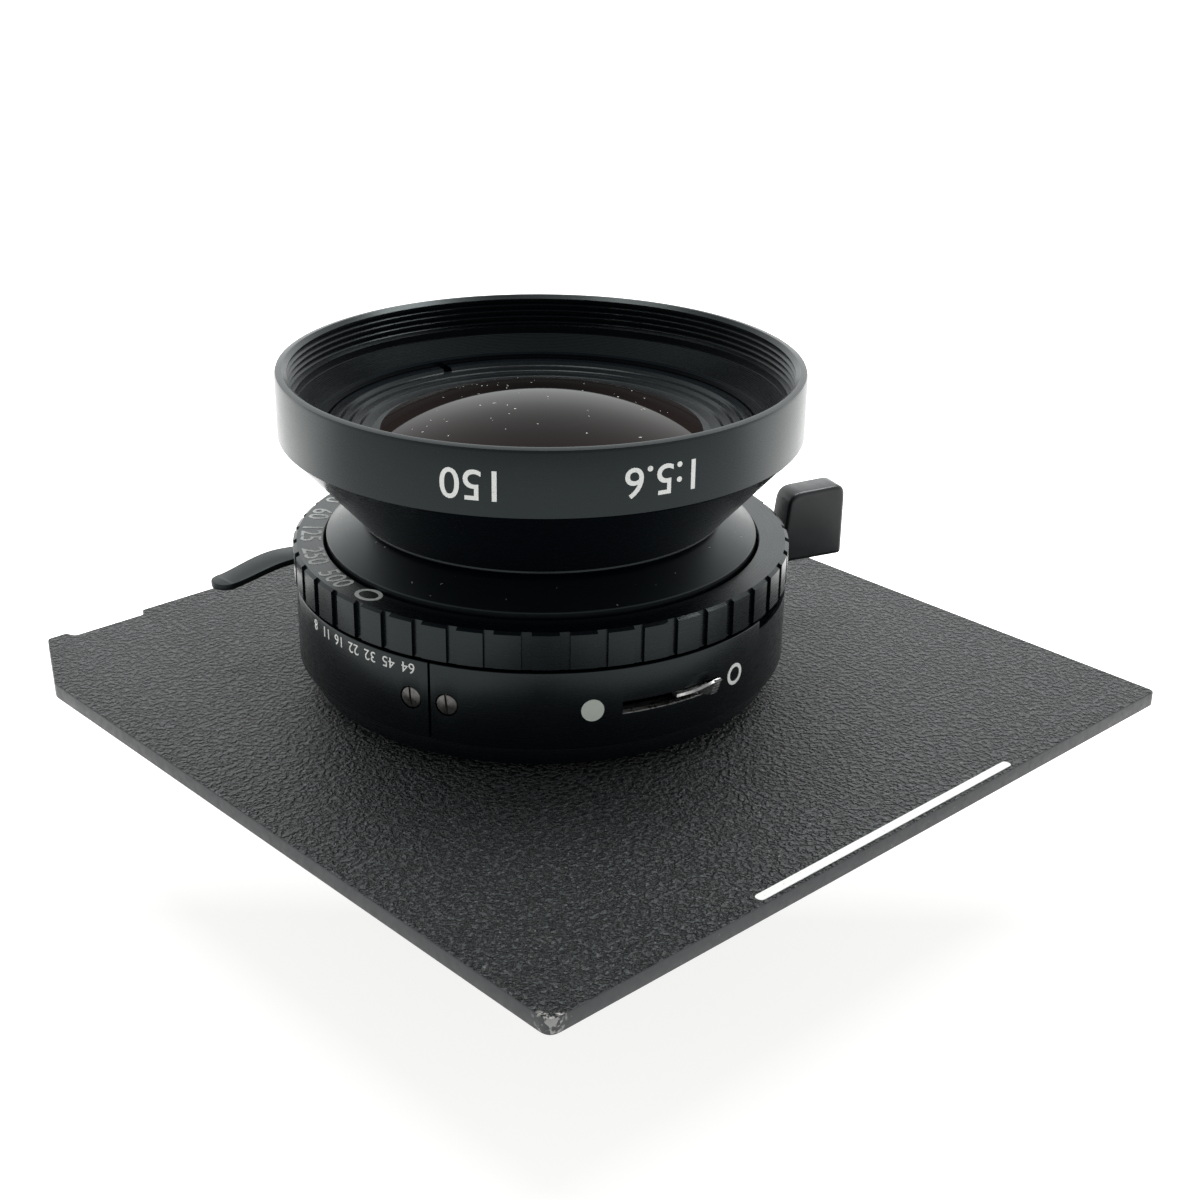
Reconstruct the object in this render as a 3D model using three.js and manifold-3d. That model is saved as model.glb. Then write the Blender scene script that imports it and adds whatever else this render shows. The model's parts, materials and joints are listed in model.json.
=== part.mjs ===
// A view-camera taking lens in a size-0 leaf shutter, mounted on a technical-camera lens board.
//
// Units are millimetres. +Z is the optical axis and points out of the front of the lens.
// The origin is the centre of the board's outline, at the rear rim on which the whole part stands.
// Inside the `lens` group the optical axis is x = y = 0 and the front face of the board is z = 0.

import * as THREE from 'three';
import { mergeVertices } from 'three/addons/utils/BufferGeometryUtils.js';
import Module from 'manifold-3d';

const wasm = await Module();
wasm.setup();

// ---------------------------------------------------------------- driving dimensions

const BOARD_WIDTH = 96;
const BOARD_HEIGHT = 99;
const BOARD_THICKNESS = 1.8;
const BOARD_FRONT_Z = 20.4; // height of the board's front face above the rear rim
const BOARD_HOLE_R = 17.3; // size-0 board hole, 34.6 mm across
const BOARD_CORNER_R = 2.0;
const AXIS_X = -0.94; // the optical axis, measured from the centre of the board
const AXIS_Y = 4.85;
const CLIP_ALONG = 5.4; // clipped corner of the board
const CLIP_DOWN = 11.8;
const NOTCH_FROM = 7.9; // shallow notch beside it, measured from the board's left side
const NOTCH_TO = 18.6;
const NOTCH_DEPTH = 1.3;
const NOTCH_SLOPE = 0.6;

const TRAP_OUTER = 80; // light-trap rib on the back of the board
const TRAP_WALL = 2.4;
const TRAP_DEPTH = 2.0;

const STRIPE_LENGTH = 40.6; // white index stripe inlaid along the lower edge
const STRIPE_WIDTH = 1.15;
const STRIPE_DEPTH = 0.35;
const STRIPE_EDGE = 1.15; // from the board's edge to the middle of the stripe

const GAP = 0.3; // clearance between pieces that touch on the real object
const BLADE_COUNT = 5;

const BAND_R = 28.8; // split band around the shutter
const BAND_WALL = 0.75;
const BAND_BOTTOM_Z = 3.25;
const BAND_TOP_Z = 12.3;
const SEAM_ANGLE = -156.0;
const SEAM_WIDTH = 0.35;

const SLOT_FROM = -114.0; // press-focus slot in the band
const SLOT_TO = -89.6;
const SLOT_Z = 7.6;
const SLOT_HEIGHT = 1.5;

const KNURL_R = 28.95; // speed ring
const KNURL_COUNT = 45;
const KNURL_DEPTH = 0.45;
const KNURL_GROOVE = 1.1;
const KNURL_PHASE = 1.4; // angle of the first groove
const RING_BOTTOM_Z = 12.6;
const RING_TOP_Z = 16.95;
const RING_INNER_R = 25.4;

const COVER_R = 25.1; // satin front cover
const COVER_EDGE_Z = 17.6; // where its side turns into the cone
const COVER_TOP_R = 20.6;
const COVER_TOP_Z = 20.2;

const THREAD_R = 14.6; // cell threads, M29.5
const TUBE_R = 16.25; // board thread, M32.5
const TUBE_END_Z = -5.2;
const FRONT_SEAT_Z = 14.8; // 20 mm in front of the rear seat

const LIP_R = 21.6; // front cell
const LIP_Z = 20.85;
const HOOD_BASE_R = 29.75;
const HOOD_BASE_Z = 29.95;
const HOOD_R = 30.0;
const HOOD_TOP_Z = 37.5;
const FILTER_R = 28.75; // thread for a 58 mm screw-in filter

const FRONT_GLASS_R = 18.5;
const FRONT_GLASS_CURVE = 50;
const FRONT_GLASS_APEX_Z = 33.3;

const REAR_R = 21.0; // rear cell, 42 mm across
const REAR_RIM_Z = -BOARD_FRONT_Z;
const REAR_GLASS_R = 16.4;
const REAR_GLASS_CURVE = 45;

const FINE = 48; // facets round a visible ring
const MEDIUM = 32;
const COARSE = 20;

// ---------------------------------------------------------------- materials

const finish = (color, roughness, metalness) =>
  new THREE.MeshStandardMaterial({ color, roughness, metalness });

const BLACK_ANODISED = () => finish(0x141516, 0.45, 0.6);
const BLACK_SATIN = () => finish(0x2c2d2e, 0.35, 0.6);
const BLACK_LACQUER = () => finish(0x0c0c0d, 0.5, 0.2);
const BLACK_PLASTIC = () => finish(0x18191a, 0.4, 0.0);
const WRINKLE_PAINT = () => finish(0x33363a, 0.8, 0.1);
const WHITE_PAINT = () => finish(0xf2f2ee, 0.5, 0.0);
const STEEL = () => finish(0xa9abad, 0.35, 1.0);
const BLADE_STEEL = () => finish(0x34363a, 0.4, 0.9);
const BRASS = () => finish(0xb08d4a, 0.35, 1.0);
const GLASS = () => finish(0x6f5f6a, 0.03, 0.0);

// ---------------------------------------------------------------- geometry helpers

const radians = THREE.MathUtils.degToRad;

// A point at radius r and angle degrees round the optical axis.
const polar = (r, degrees) => new THREE.Vector2(
  r * Math.cos(radians(degrees)),
  r * Math.sin(radians(degrees)),
);

// Keeps position only, with shared vertices merged and every face pointing out.
function closed(geometry) {
  const bare = new THREE.BufferGeometry();
  bare.setAttribute('position', geometry.getAttribute('position').clone());
  bare.setIndex(geometry.getIndex());
  const merged = mergeVertices(bare, 1e-4);
  const position = merged.getAttribute('position');
  const index = [...merged.getIndex().array];
  const corners = [];
  const corner = (i) => new THREE.Vector3().fromBufferAttribute(position, i);
  let volume = 0;
  for (let i = 0; i < index.length; i += 3) {
    const [a, b, c] = [index[i], index[i + 1], index[i + 2]];
    if (a === b || b === c || c === a) continue;
    corners.push(a, b, c);
    volume += corner(a).dot(corner(b).cross(corner(c)));
  }
  if (volume < 0) corners.reverse();
  merged.setIndex(corners);
  return merged;
}

function toSolid(geometry) {
  const clean = closed(geometry);
  return new wasm.Manifold(new wasm.Mesh({
    numProp: 3,
    vertProperties: new Float32Array(clean.getAttribute('position').array),
    triVerts: new Uint32Array(clean.getIndex().array),
  }));
}

function toGeometry(solid) {
  const mesh = solid.getMesh();
  const geometry = new THREE.BufferGeometry();
  geometry.setAttribute('position', new THREE.BufferAttribute(mesh.vertProperties, 3));
  geometry.setIndex(new THREE.BufferAttribute(mesh.triVerts, 1));
  return geometry;
}

function cut(geometry, tools) {
  const pieces = tools.map(toSolid);
  return toGeometry(pieces.reduce((solid, tool) => solid.subtract(tool), toSolid(geometry)));
}

function join(geometry, others) {
  return toGeometry(others.map(toSolid).reduce((solid, other) => solid.add(other), toSolid(geometry)));
}

// Turns a closed [radius, height] profile round the optical axis.
function turned(profile, segments = MEDIUM) {
  const points = [...profile, profile[0]].map(([r, z]) => new THREE.Vector2(r, z));
  return closed(new THREE.LatheGeometry(points, segments).rotateX(Math.PI / 2));
}

// A flat ring or tube between two radii and two heights.
const ring = (inner, outer, low, high, segments) =>
  turned([[inner, low], [outer, low], [outer, high], [inner, high]], segments);

// Extrudes an outline from z = low to z = high.
function plate(shape, low, high, curveSegments = 12) {
  const options = { depth: high - low, bevelEnabled: false, curveSegments };
  return closed(new THREE.ExtrudeGeometry(shape, options).translate(0, 0, low));
}

// The outline of a ring sector between two angles in degrees.
function sector(inner, outer, from, to) {
  const shape = new THREE.Shape();
  shape.absarc(0, 0, outer, radians(from), radians(to), false);
  shape.absarc(0, 0, inner, radians(to), radians(from), true);
  shape.closePath();
  return shape;
}

// A cylinder whose axis points outwards from the optical axis.
function radialPin(radius, inner, outer, degrees, z, segments = 20) {
  const pin = new THREE.CylinderGeometry(radius, radius, outer - inner, segments);
  pin.rotateZ(Math.PI / 2);
  pin.translate((inner + outer) / 2, 0, 0);
  return closed(pin.rotateZ(radians(degrees)).translate(0, 0, z));
}

// A block that is longest along the radius at the given angle.
function radialBlock(inner, outer, width, low, high, degrees) {
  const block = new THREE.BoxGeometry(outer - inner, width, high - low);
  block.translate((inner + outer) / 2, 0, (low + high) / 2);
  return closed(block.rotateZ(radians(degrees)));
}

// Starts or continues an outline of straight edges.
function addPoint(shape, point, first) {
  if (first) shape.moveTo(point.x, point.y);
  else shape.lineTo(point.x, point.y);
}

// Outline of a rectangle with rounded corners, centred on a point.
function roundedRectangle(width, height, radius, x = 0, y = 0) {
  const [w, h] = [width / 2, height / 2];
  const shape = new THREE.Shape();
  shape.absarc(x + w - radius, y + h - radius, radius, 0, Math.PI / 2);
  shape.absarc(x - w + radius, y + h - radius, radius, Math.PI / 2, Math.PI);
  shape.absarc(x - w + radius, y - h + radius, radius, Math.PI, 1.5 * Math.PI);
  shape.absarc(x + w - radius, y - h + radius, radius, 1.5 * Math.PI, 2 * Math.PI);
  shape.closePath();
  return shape;
}

// Points of a spherical surface from the axis out to a radius; a positive curve bulges towards +Z.
function spherical(apexZ, curve, radius, steps = 4) {
  const sign = Math.sign(curve);
  const size = Math.abs(curve);
  return Array.from({ length: steps + 1 }, (_, i) => {
    const r = (radius * i) / steps;
    return [r, apexZ - sign * (size - Math.sqrt(size * size - r * r))];
  });
}

// A lens element between a front and a rear surface, each given as [apexZ, curve].
function element(radius, front, rear, segments = COARSE) {
  const top = spherical(...front, radius);
  const bottom = spherical(...rear, radius).reverse();
  return turned([...top, ...bottom], segments);
}

const root = new THREE.Group();
const lens = new THREE.Group();
lens.position.set(AXIS_X, AXIS_Y, BOARD_FRONT_Z);
root.add(lens);

function add(name, geometry, material, parent = lens) {
  const mesh = new THREE.Mesh(closed(geometry), material);
  mesh.name = name;
  parent.add(mesh);
  return mesh;
}

// ---------------------------------------------------------------- lens board

const BOARD_X = -AXIS_X; // centre of the board, seen from the optical axis
const BOARD_Y = -AXIS_Y;

// One corner is clipped, and the edge beside it has a shallow notch for the camera's sliding lock.
function boardOutline() {
  const [right, left] = [BOARD_X + BOARD_WIDTH / 2, BOARD_X - BOARD_WIDTH / 2];
  const [top, bottom] = [BOARD_Y + BOARD_HEIGHT / 2, BOARD_Y - BOARD_HEIGHT / 2];
  const notchFrom = left + NOTCH_FROM;
  const notchTo = left + NOTCH_TO;
  const r = BOARD_CORNER_R;
  const shape = new THREE.Shape();
  shape.moveTo(left + CLIP_ALONG, top);
  shape.lineTo(left, top - CLIP_DOWN);
  shape.absarc(left + r, bottom + r, r, Math.PI, 1.5 * Math.PI);
  shape.absarc(right - r, bottom + r, r, 1.5 * Math.PI, 2 * Math.PI);
  shape.absarc(right - r, top - r, r, 0, Math.PI / 2);
  shape.lineTo(notchTo, top);
  shape.lineTo(notchTo - NOTCH_SLOPE, top - NOTCH_DEPTH);
  shape.lineTo(notchFrom + NOTCH_SLOPE, top - NOTCH_DEPTH);
  shape.lineTo(notchFrom, top);
  shape.closePath();
  return shape;
}

const circle = (radius) => new THREE.Path().absarc(0, 0, radius, 0, 2 * Math.PI, true);

function lensBoard() {
  const outline = boardOutline();
  outline.holes.push(circle(BOARD_HOLE_R));
  const sheet = plate(outline, -BOARD_THICKNESS, 0, 6);
  const rib = roundedRectangle(TRAP_OUTER, TRAP_OUTER, 5, BOARD_X, BOARD_Y);
  const inside = TRAP_OUTER - 2 * TRAP_WALL;
  rib.holes.push(roundedRectangle(inside, inside, 5 - TRAP_WALL, BOARD_X, BOARD_Y));
  const trap = plate(rib, -BOARD_THICKNESS - TRAP_DEPTH, -BOARD_THICKNESS + 0.5, 3);
  const groove = stripeOutline(GAP / 2);
  return cut(join(sheet, [trap]), [plate(groove, -STRIPE_DEPTH - GAP, 1, 4)]);
}

function stripeOutline(margin) {
  const y = BOARD_Y - BOARD_HEIGHT / 2 + STRIPE_EDGE;
  const width = STRIPE_WIDTH + 2 * margin;
  return roundedRectangle(STRIPE_LENGTH + 2 * margin, width, width / 2 - 0.01, BOARD_X, y);
}

add('lens_board', lensBoard(), WRINKLE_PAINT());
add('index_stripe', plate(stripeOutline(-0.02), -STRIPE_DEPTH, 0.04, 4), WHITE_PAINT());

const FLANGE_R = 20.4;
const FLANGE_THICKNESS = 2.4;
const SPANNER_R = 18.6; // inner end of the spanner notches

// The ring behind the board that clamps the shutter, with four notches for a spanner.
function flangeRing() {
  const inner = TUBE_R + GAP;
  const outer = FLANGE_R;
  const high = -BOARD_THICKNESS - GAP;
  const low = high - FLANGE_THICKNESS;
  const notch = (angle) => radialBlock(SPANNER_R, outer + 1.6, 2.2, low - 1, low + 1.2, angle);
  return cut(ring(inner, outer, low, high), [0, 90, 180, 270].map(notch));
}

add('flange_ring', flangeRing(), BLACK_ANODISED());

// ---------------------------------------------------------------- shutter case

const WALL_R = BAND_R - BAND_WALL - 0.25; // outside of the housing wall, under the band
const WALL_INNER_R = 26.6;
const BASE_R = 25.1; // smaller foot that stands on the board
const BASE_INNER_R = 24.1;
const CHAMBER_FLOOR_Z = 0.9;
const WALL_TOP_Z = BAND_TOP_Z - 0.1;

const COCKING_CUT = [-73.5, -9]; // openings for the levers, in degrees
const RELEASE_CUT = [104, 154];
const LEVER_CUT_Z = 11.3;
const RELEASE_CUT_Z = 10.6;
const BAND_SCREWS = [
  { name: 'band_screw_left', angle: -160.6 },
  { name: 'band_screw_right', angle: -152.0 },
];
const SCREW_Z = 7.7;
const RELEASE_SOCKET = { angle: 96, z: 7.5 };
const SYNC_SOCKET = { angle: 70, z: 7.5 };

// Cuts that the housing wall and the band share.
function wallCuts(inner, outer, slotMargin) {
  const slot = [SLOT_FROM - slotMargin, SLOT_TO + slotMargin];
  const half = SLOT_HEIGHT / 2 + slotMargin * 0.1;
  return [
    plate(sector(inner, outer, ...slot), SLOT_Z - half, SLOT_Z + half, 8),
    plate(sector(inner, outer, ...COCKING_CUT), LEVER_CUT_Z, 20, 16),
    plate(sector(inner, outer, ...RELEASE_CUT), RELEASE_CUT_Z, 20, 12),
    radialPin(2.35, inner, outer, RELEASE_SOCKET.angle, RELEASE_SOCKET.z),
    radialPin(2.55, inner, outer, SYNC_SOCKET.angle, SYNC_SOCKET.z),
  ];
}

function shutterHousing() {
  const profile = [
    [THREAD_R + GAP, TUBE_END_Z],
    [TUBE_R, TUBE_END_Z],
    [TUBE_R, 0.05],
    [BASE_R, 0.05],
    [BASE_R, BAND_BOTTOM_Z],
    [WALL_R, BAND_BOTTOM_Z],
    [WALL_R, WALL_TOP_Z],
    [WALL_INNER_R, WALL_TOP_Z],
    [WALL_INNER_R, 4.8],
    [BASE_INNER_R, 4.8],
    [BASE_INNER_R, CHAMBER_FLOOR_Z],
    [THREAD_R + GAP, CHAMBER_FLOOR_Z],
  ];
  const [inner, outer] = [BASE_R + 0.4, BAND_R + 2];
  const screwHoles = BAND_SCREWS.map(({ angle }) => radialPin(0.75, inner, outer, angle, SCREW_Z, 12));
  return cut(turned(profile), [...wallCuts(inner, outer, 2), ...screwHoles]);
}

function outerBand() {
  const band = ring(BAND_R - BAND_WALL, BAND_R, BAND_BOTTOM_Z, BAND_TOP_Z, FINE);
  const [inner, outer] = [BAND_R - 2, BAND_R + 2];
  const seam = radialBlock(inner, outer, SEAM_WIDTH, 0, 20, SEAM_ANGLE);
  const screwHoles = BAND_SCREWS.map(({ angle }) => radialPin(1.5, inner, outer, angle, SCREW_Z, 16));
  return cut(band, [...wallCuts(inner, outer, 0), seam, ...screwHoles]);
}

// A countersunk slotted screw, head outwards.
function bandScrew(angle) {
  const [shank, head] = [0.5, 1.2];
  const profile = [
    [0, 0.75],
    [shank, 0.75],
    [shank, 2.3],
    [head, 2.8],
    [head, 3.05],
    [shank, 3.25],
    [0, 3.3],
  ];
  const body = turned(profile, 20);
  const slot = new THREE.BoxGeometry(0.3, 3, 0.8).translate(0, 0, 3.3);
  const screw = cut(body, [slot]).rotateY(Math.PI / 2);
  return screw.translate(BAND_R - 3.25, 0, 0).rotateZ(radians(angle)).translate(0, 0, SCREW_Z);
}

add('shutter_housing', shutterHousing(), BLACK_LACQUER());
add('outer_band', outerBand(), BLACK_ANODISED());
for (const { name, angle } of BAND_SCREWS) add(name, bandScrew(angle), BLADE_STEEL());

// Plate that carries the mechanism, with the tube into which the front cell screws.
const PLATE_Z = 8.9;
const PLATE_THICKNESS = 0.8;
const TUBE_INNER_R = THREAD_R + GAP;
const TUBE_OUTER_R = 16.1;
const APERTURE_R = 12.6;

function mechanismPlate() {
  const top = PLATE_Z + PLATE_THICKNESS;
  return turned([
    [APERTURE_R, PLATE_Z],
    [WALL_INNER_R - GAP, PLATE_Z],
    [WALL_INNER_R - GAP, top],
    [TUBE_OUTER_R, top],
    [TUBE_OUTER_R, FRONT_SEAT_Z - 0.1],
    [TUBE_INNER_R, FRONT_SEAT_Z - 0.1],
    [TUBE_INNER_R, top],
    [APERTURE_R, top],
  ]);
}

add('mechanism_plate', mechanismPlate(), BRASS());

// Conical cover round the front cell.
function frontCover() {
  const wall = 1.0;
  const skirtZ = 14.0;
  const topWall = 0.9;
  return turned([
    [COVER_R - wall, skirtZ],
    [COVER_R, skirtZ],
    [COVER_R, COVER_EDGE_Z],
    [COVER_TOP_R, COVER_TOP_Z],
    [COVER_TOP_R - topWall, COVER_TOP_Z],
    [COVER_TOP_R - topWall, COVER_TOP_Z - 1.1],
    [COVER_R - wall, COVER_EDGE_Z - 1.2],
  ], FINE);
}

add('front_cover', frontCover(), BLACK_SATIN());

// ---------------------------------------------------------------- speed control

function speedRing() {
  const outline = new THREE.Shape();
  const pitch = 360 / KNURL_COUNT;
  const groove = THREE.MathUtils.radToDeg(KNURL_GROOVE / KNURL_R);
  for (let i = 0; i < KNURL_COUNT; i += 1) {
    const start = KNURL_PHASE + i * pitch;
    const land = [start + groove / 2, start + pitch / 2, start + pitch - groove / 2];
    const floor = [start + pitch - groove / 2, start + pitch + groove / 2];
    for (const angle of land) addPoint(outline, polar(KNURL_R, angle), i === 0 && angle === land[0]);
    for (const angle of floor) addPoint(outline, polar(KNURL_R - KNURL_DEPTH, angle), false);
  }
  outline.closePath();
  outline.holes.push(circle(RING_INNER_R));
  return plate(outline, RING_BOTTOM_Z, RING_TOP_Z, 36);
}

add('speed_ring', speedRing(), BLACK_ANODISED());
add('speed_cam_ring', ring(20.2, 25.0, 13.25, 13.7, COARSE), STEEL());

// ---------------------------------------------------------------- slow-speed gear train

const GEAR_Z = 10.3;
const GEAR_THICKNESS = 0.9;
const TOOTH_PITCH_R = 0.165; // tip radius for each tooth
const TOOTH_DEPTH = 0.35;
const MESH_DEPTH = 0.18; // how far a tip reaches into the next gear's gap
const RING_TEETH = 116; // of a full circle; only a sector is cut
const RING_TOOTH_R = RING_TEETH * TOOTH_PITCH_R;
const ARBOR = { r: 0.45, low: 10.0, high: 11.55 };
const TRAIN_START = 186; // direction of the first gear from the optical axis
const SECTOR_TEETH = 20;
const TOOTHED_FROM = TRAIN_START - 2 * (360 / RING_TEETH);

// Each gear's direction is seen from the centre of the gear before it.
const GEARS = [
  { name: 'retard_gear_large', teeth: 20, direction: TRAIN_START },
  { name: 'retard_gear_small', teeth: 15, direction: -90 },
  { name: 'escape_wheel', teeth: 12, direction: -60 },
];

// One tooth of a gear, narrow at the tip, centred on an angle.
function addTooth(shape, radius, angle, step, first = false) {
  const root = radius - TOOTH_DEPTH;
  addPoint(shape, polar(root, angle - 0.28 * step), first);
  addPoint(shape, polar(radius, angle - 0.12 * step), false);
  addPoint(shape, polar(radius, angle + 0.12 * step), false);
  addPoint(shape, polar(root, angle + 0.28 * step), false);
}

// Places the train from the toothed ring outwards, so that each tooth stands in the next gear's gap.
function placedGears() {
  let before = {
    centre: new THREE.Vector2(),
    radius: RING_TOOTH_R,
    step: 360 / RING_TEETH,
    phase: TRAIN_START,
  };
  return GEARS.map(({ name, teeth, direction }) => {
    const radius = teeth * TOOTH_PITCH_R;
    const step = 360 / teeth;
    const away = polar(before.radius + radius - MESH_DEPTH, direction);
    const centre = before.centre.clone().add(away);
    const share = (before.phase - direction) / before.step;
    const phase = direction + 180 - (share + 0.5) * step;
    before = { name, teeth, centre, radius, step, phase };
    return before;
  });
}

function gear({ teeth, centre, radius, step, phase }) {
  const shape = new THREE.Shape();
  for (let i = 0; i < teeth; i += 1) addTooth(shape, radius, phase + i * step, step, i === 0);
  shape.closePath();
  const wheel = plate(shape, GEAR_Z, GEAR_Z + GEAR_THICKNESS);
  const { r, low, high } = ARBOR;
  const arbor = turned([[0, low], [r, low], [r, high], [0, high]], 12);
  return join(wheel, [arbor]).translate(centre.x, centre.y, 0);
}

const TRAIN = placedGears();
const PALLET_DIRECTION = -70; // of the pallet from the escape wheel
const PALLET_DISTANCE = 2.95;

function pallet() {
  const shape = new THREE.Shape();
  shape.moveTo(-1.2, -1.9);
  shape.lineTo(-0.6, -0.7);
  shape.lineTo(-0.6, 0.7);
  shape.lineTo(-1.2, 1.9);
  shape.lineTo(0.2, 1.5);
  shape.lineTo(1.0, 0);
  shape.lineTo(0.2, -1.5);
  shape.closePath();
  const centre = TRAIN.at(-1).centre.clone().add(polar(PALLET_DISTANCE, PALLET_DIRECTION));
  const body = plate(shape, GEAR_Z, GEAR_Z + GEAR_THICKNESS).rotateZ(radians(PALLET_DIRECTION));
  return body.translate(centre.x, centre.y, 0);
}

for (const placed of TRAIN) add(placed.name, gear(placed), BRASS());
add('escape_pallet', pallet(), STEEL());
add('retard_bridge', plate(sector(20.6, 26.2, 178, 228), 11.85, 12.3, 10), BRASS());

// ---------------------------------------------------------------- cocking lever

const COCKING_ANGLE = -17.8; // middle of the lever at rest
const COCKING_RING = { inner: 16.6, outer: 18.79, low: 10.05, high: 11.3 };
const ARM = { inner: 17.0, outer: 36.6, width: 3.0, low: 11.6, high: 12.3 };
const BLADE = { inner: 35.4, outer: 38.4, width: 1.2, low: 10.2, high: 15.4 };
const CAP = { inner: 31.8, outer: 40.6, width: 3.8, low: 8.0, high: 17.3, corner: 1.5 };

// One block of the lever, or the pocket that takes it with a margin all round.
function leverBlock({ inner, outer, width, low, high }, margin) {
  const span = [inner - margin, outer + margin];
  return radialBlock(...span, width + 2 * margin, low - margin, high + margin, COCKING_ANGLE);
}

// The lever turns up at its outer end, and the moulded cap is pushed over that end.
function cockingLever() {
  const [arm, blade] = [ARM, BLADE].map((block) => leverBlock(block, 0));
  return join(arm, [blade]);
}

// The ring carries a sector of teeth that drives the slow-speed gear train.
function cockingRing() {
  const { inner, outer, low, high } = COCKING_RING;
  const teeth = new THREE.Shape();
  const step = 360 / RING_TEETH;
  for (let i = 0; i < SECTOR_TEETH; i += 1) {
    addTooth(teeth, RING_TOOTH_R, TOOTHED_FROM + i * step, step, i === 0);
  }
  const last = TOOTHED_FROM + (SECTOR_TEETH - 1) * step;
  teeth.absarc(0, 0, (inner + outer) / 2, radians(last), radians(TOOTHED_FROM), true);
  teeth.closePath();
  const sectorPlate = plate(teeth, GEAR_Z, GEAR_Z + GEAR_THICKNESS, 8);
  return join(ring(inner, outer, low, high, COARSE), [sectorPlate]);
}

function cockingCap() {
  const { inner, outer, width, low, high, corner } = CAP;
  const shape = new THREE.Shape();
  shape.moveTo(outer, low);
  shape.lineTo(outer, high - corner);
  shape.quadraticCurveTo(outer, high, outer - corner, high);
  shape.lineTo(inner + corner * 1.6, high - 0.2);
  shape.quadraticCurveTo(inner + 0.4, high - 0.4, inner + 0.2, high - corner * 1.8);
  shape.lineTo(inner, low);
  shape.closePath();
  const body = plate(shape, -width / 2, width / 2, 6);
  body.rotateX(Math.PI / 2).rotateZ(radians(COCKING_ANGLE));
  const openBelow = { ...BLADE, low: low - 1 };
  return cut(body, [leverBlock(ARM, GAP), leverBlock(openBelow, GAP)]);
}

add('cocking_ring', cockingRing(), STEEL());
add('cocking_lever', cockingLever(), STEEL());
add('cocking_lever_cap', cockingCap(), BLACK_PLASTIC());

const SPRING = { wireR: 0.2, radius: 17.2, low: 13.5, rise: 1.0, turns: 1.75 };

// Return spring wound round the front tube.
class Helix extends THREE.Curve {
  constructor(radius, low, rise, turns) {
    super();
    Object.assign(this, { radius, low, rise, turns });
  }

  getPoint(t, target = new THREE.Vector3()) {
    const angle = 2 * Math.PI * this.turns * t;
    const { radius, low, rise } = this;
    return target.set(radius * Math.cos(angle), radius * Math.sin(angle), low + rise * t);
  }
}

function mainSpring() {
  const { wireR, radius, low, rise, turns } = SPRING;
  const wire = new THREE.Shape().absarc(0, 0, wireR, 0, 2 * Math.PI);
  const path = new Helix(radius, low, rise, turns);
  return new THREE.ExtrudeGeometry(wire, { steps: 28, curveSegments: 3, extrudePath: path });
}

add('main_spring', mainSpring(), STEEL());

// ---------------------------------------------------------------- release lever and sockets

const RELEASE_PIVOT = { r: 24.4, angle: 122, hubR: 1.9, boreR: 0.95 };
const RELEASE_TIP = { x: -28.3, y: 24.2, r: 1.75 };
const RELEASE_Z = 11.3;
const RELEASE_THICKNESS = 0.9;

// A flat finger lever that leaves the case and sweeps back beside it to a round tip.
function releaseLever() {
  const hub = polar(RELEASE_PIVOT.r, RELEASE_PIVOT.angle);
  const outline = new THREE.Shape();
  const { hubR, boreR } = RELEASE_PIVOT;
  const tip = RELEASE_TIP;
  outline.absarc(hub.x, hub.y, hubR, radians(-60), radians(165), false);
  outline.quadraticCurveTo(-19.6, 26.2, -26.8, 26.2);
  outline.absarc(tip.x, tip.y, tip.r, radians(100), radians(265), false);
  outline.quadraticCurveTo(-21.0, 22.2, -17.5, 20.4);
  outline.closePath();
  outline.holes.push(new THREE.Path().absarc(hub.x, hub.y, boreR, 0, 2 * Math.PI, true));
  return plate(outline, RELEASE_Z, RELEASE_Z + RELEASE_THICKNESS, 8);
}

function releasePin() {
  const pin = turned([[0, 10.0], [0.65, 10.0], [0.65, 12.3], [0, 12.3]], 16);
  const hub = polar(RELEASE_PIVOT.r, RELEASE_PIVOT.angle);
  return pin.translate(hub.x, hub.y, 0);
}

add('release_lever', releaseLever(), BLACK_LACQUER());
add('release_lever_pin', releasePin(), STEEL());

// Tapered socket for a cable release, and the flash socket with its centre pin.
function socket(profile, { angle, z }) {
  return turned(profile, 24).rotateY(Math.PI / 2).rotateZ(radians(angle)).translate(0, 0, z);
}

const SOCKET_FOOT_R = 26.9; // inside the housing wall
const RELEASE_PROFILE = [
  [0.9, SOCKET_FOOT_R],
  [2.05, SOCKET_FOOT_R],
  [2.05, 29.2],
  [2.6, 29.5],
  [2.6, 33.2],
  [1.5, 33.2],
];
const SYNC_PROFILE = [
  [1.8, SOCKET_FOOT_R],
  [2.25, SOCKET_FOOT_R],
  [2.25, 29.1],
  [2.9, 29.4],
  [2.9, 31.8],
  [1.8, 31.8],
];
add('cable_release_socket', socket(RELEASE_PROFILE, RELEASE_SOCKET), STEEL());
add('sync_socket', socket(SYNC_PROFILE, SYNC_SOCKET), STEEL());
add('sync_contact_pin', radialPin(0.75, 27.0, 31.0, SYNC_SOCKET.angle, SYNC_SOCKET.z, 12), BRASS());

// ---------------------------------------------------------------- leaf-shutter blades

const BLADE_PITCH = 0.36;
const SHUTTER_BLADE_Z = 4.95;
const IRIS_BLADE_Z = 1.25;
const BLADE_RING_Z = 7.1;

// A crescent that lies outside the clear aperture, from its pivot round to its free tip.
function blade({ pivotR, inner, outer, span, start, z, thickness }) {
  const pivot = polar(pivotR, start);
  const shape = new THREE.Shape();
  shape.absarc(pivot.x, pivot.y, outer - pivotR, radians(start + 180), radians(start), false);
  shape.absarc(0, 0, outer, radians(start), radians(start + span), false);
  shape.absarc(0, 0, inner, radians(start + span + 7), radians(start + 4), true);
  shape.closePath();
  return plate(shape, z, z + thickness, 5);
}

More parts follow.
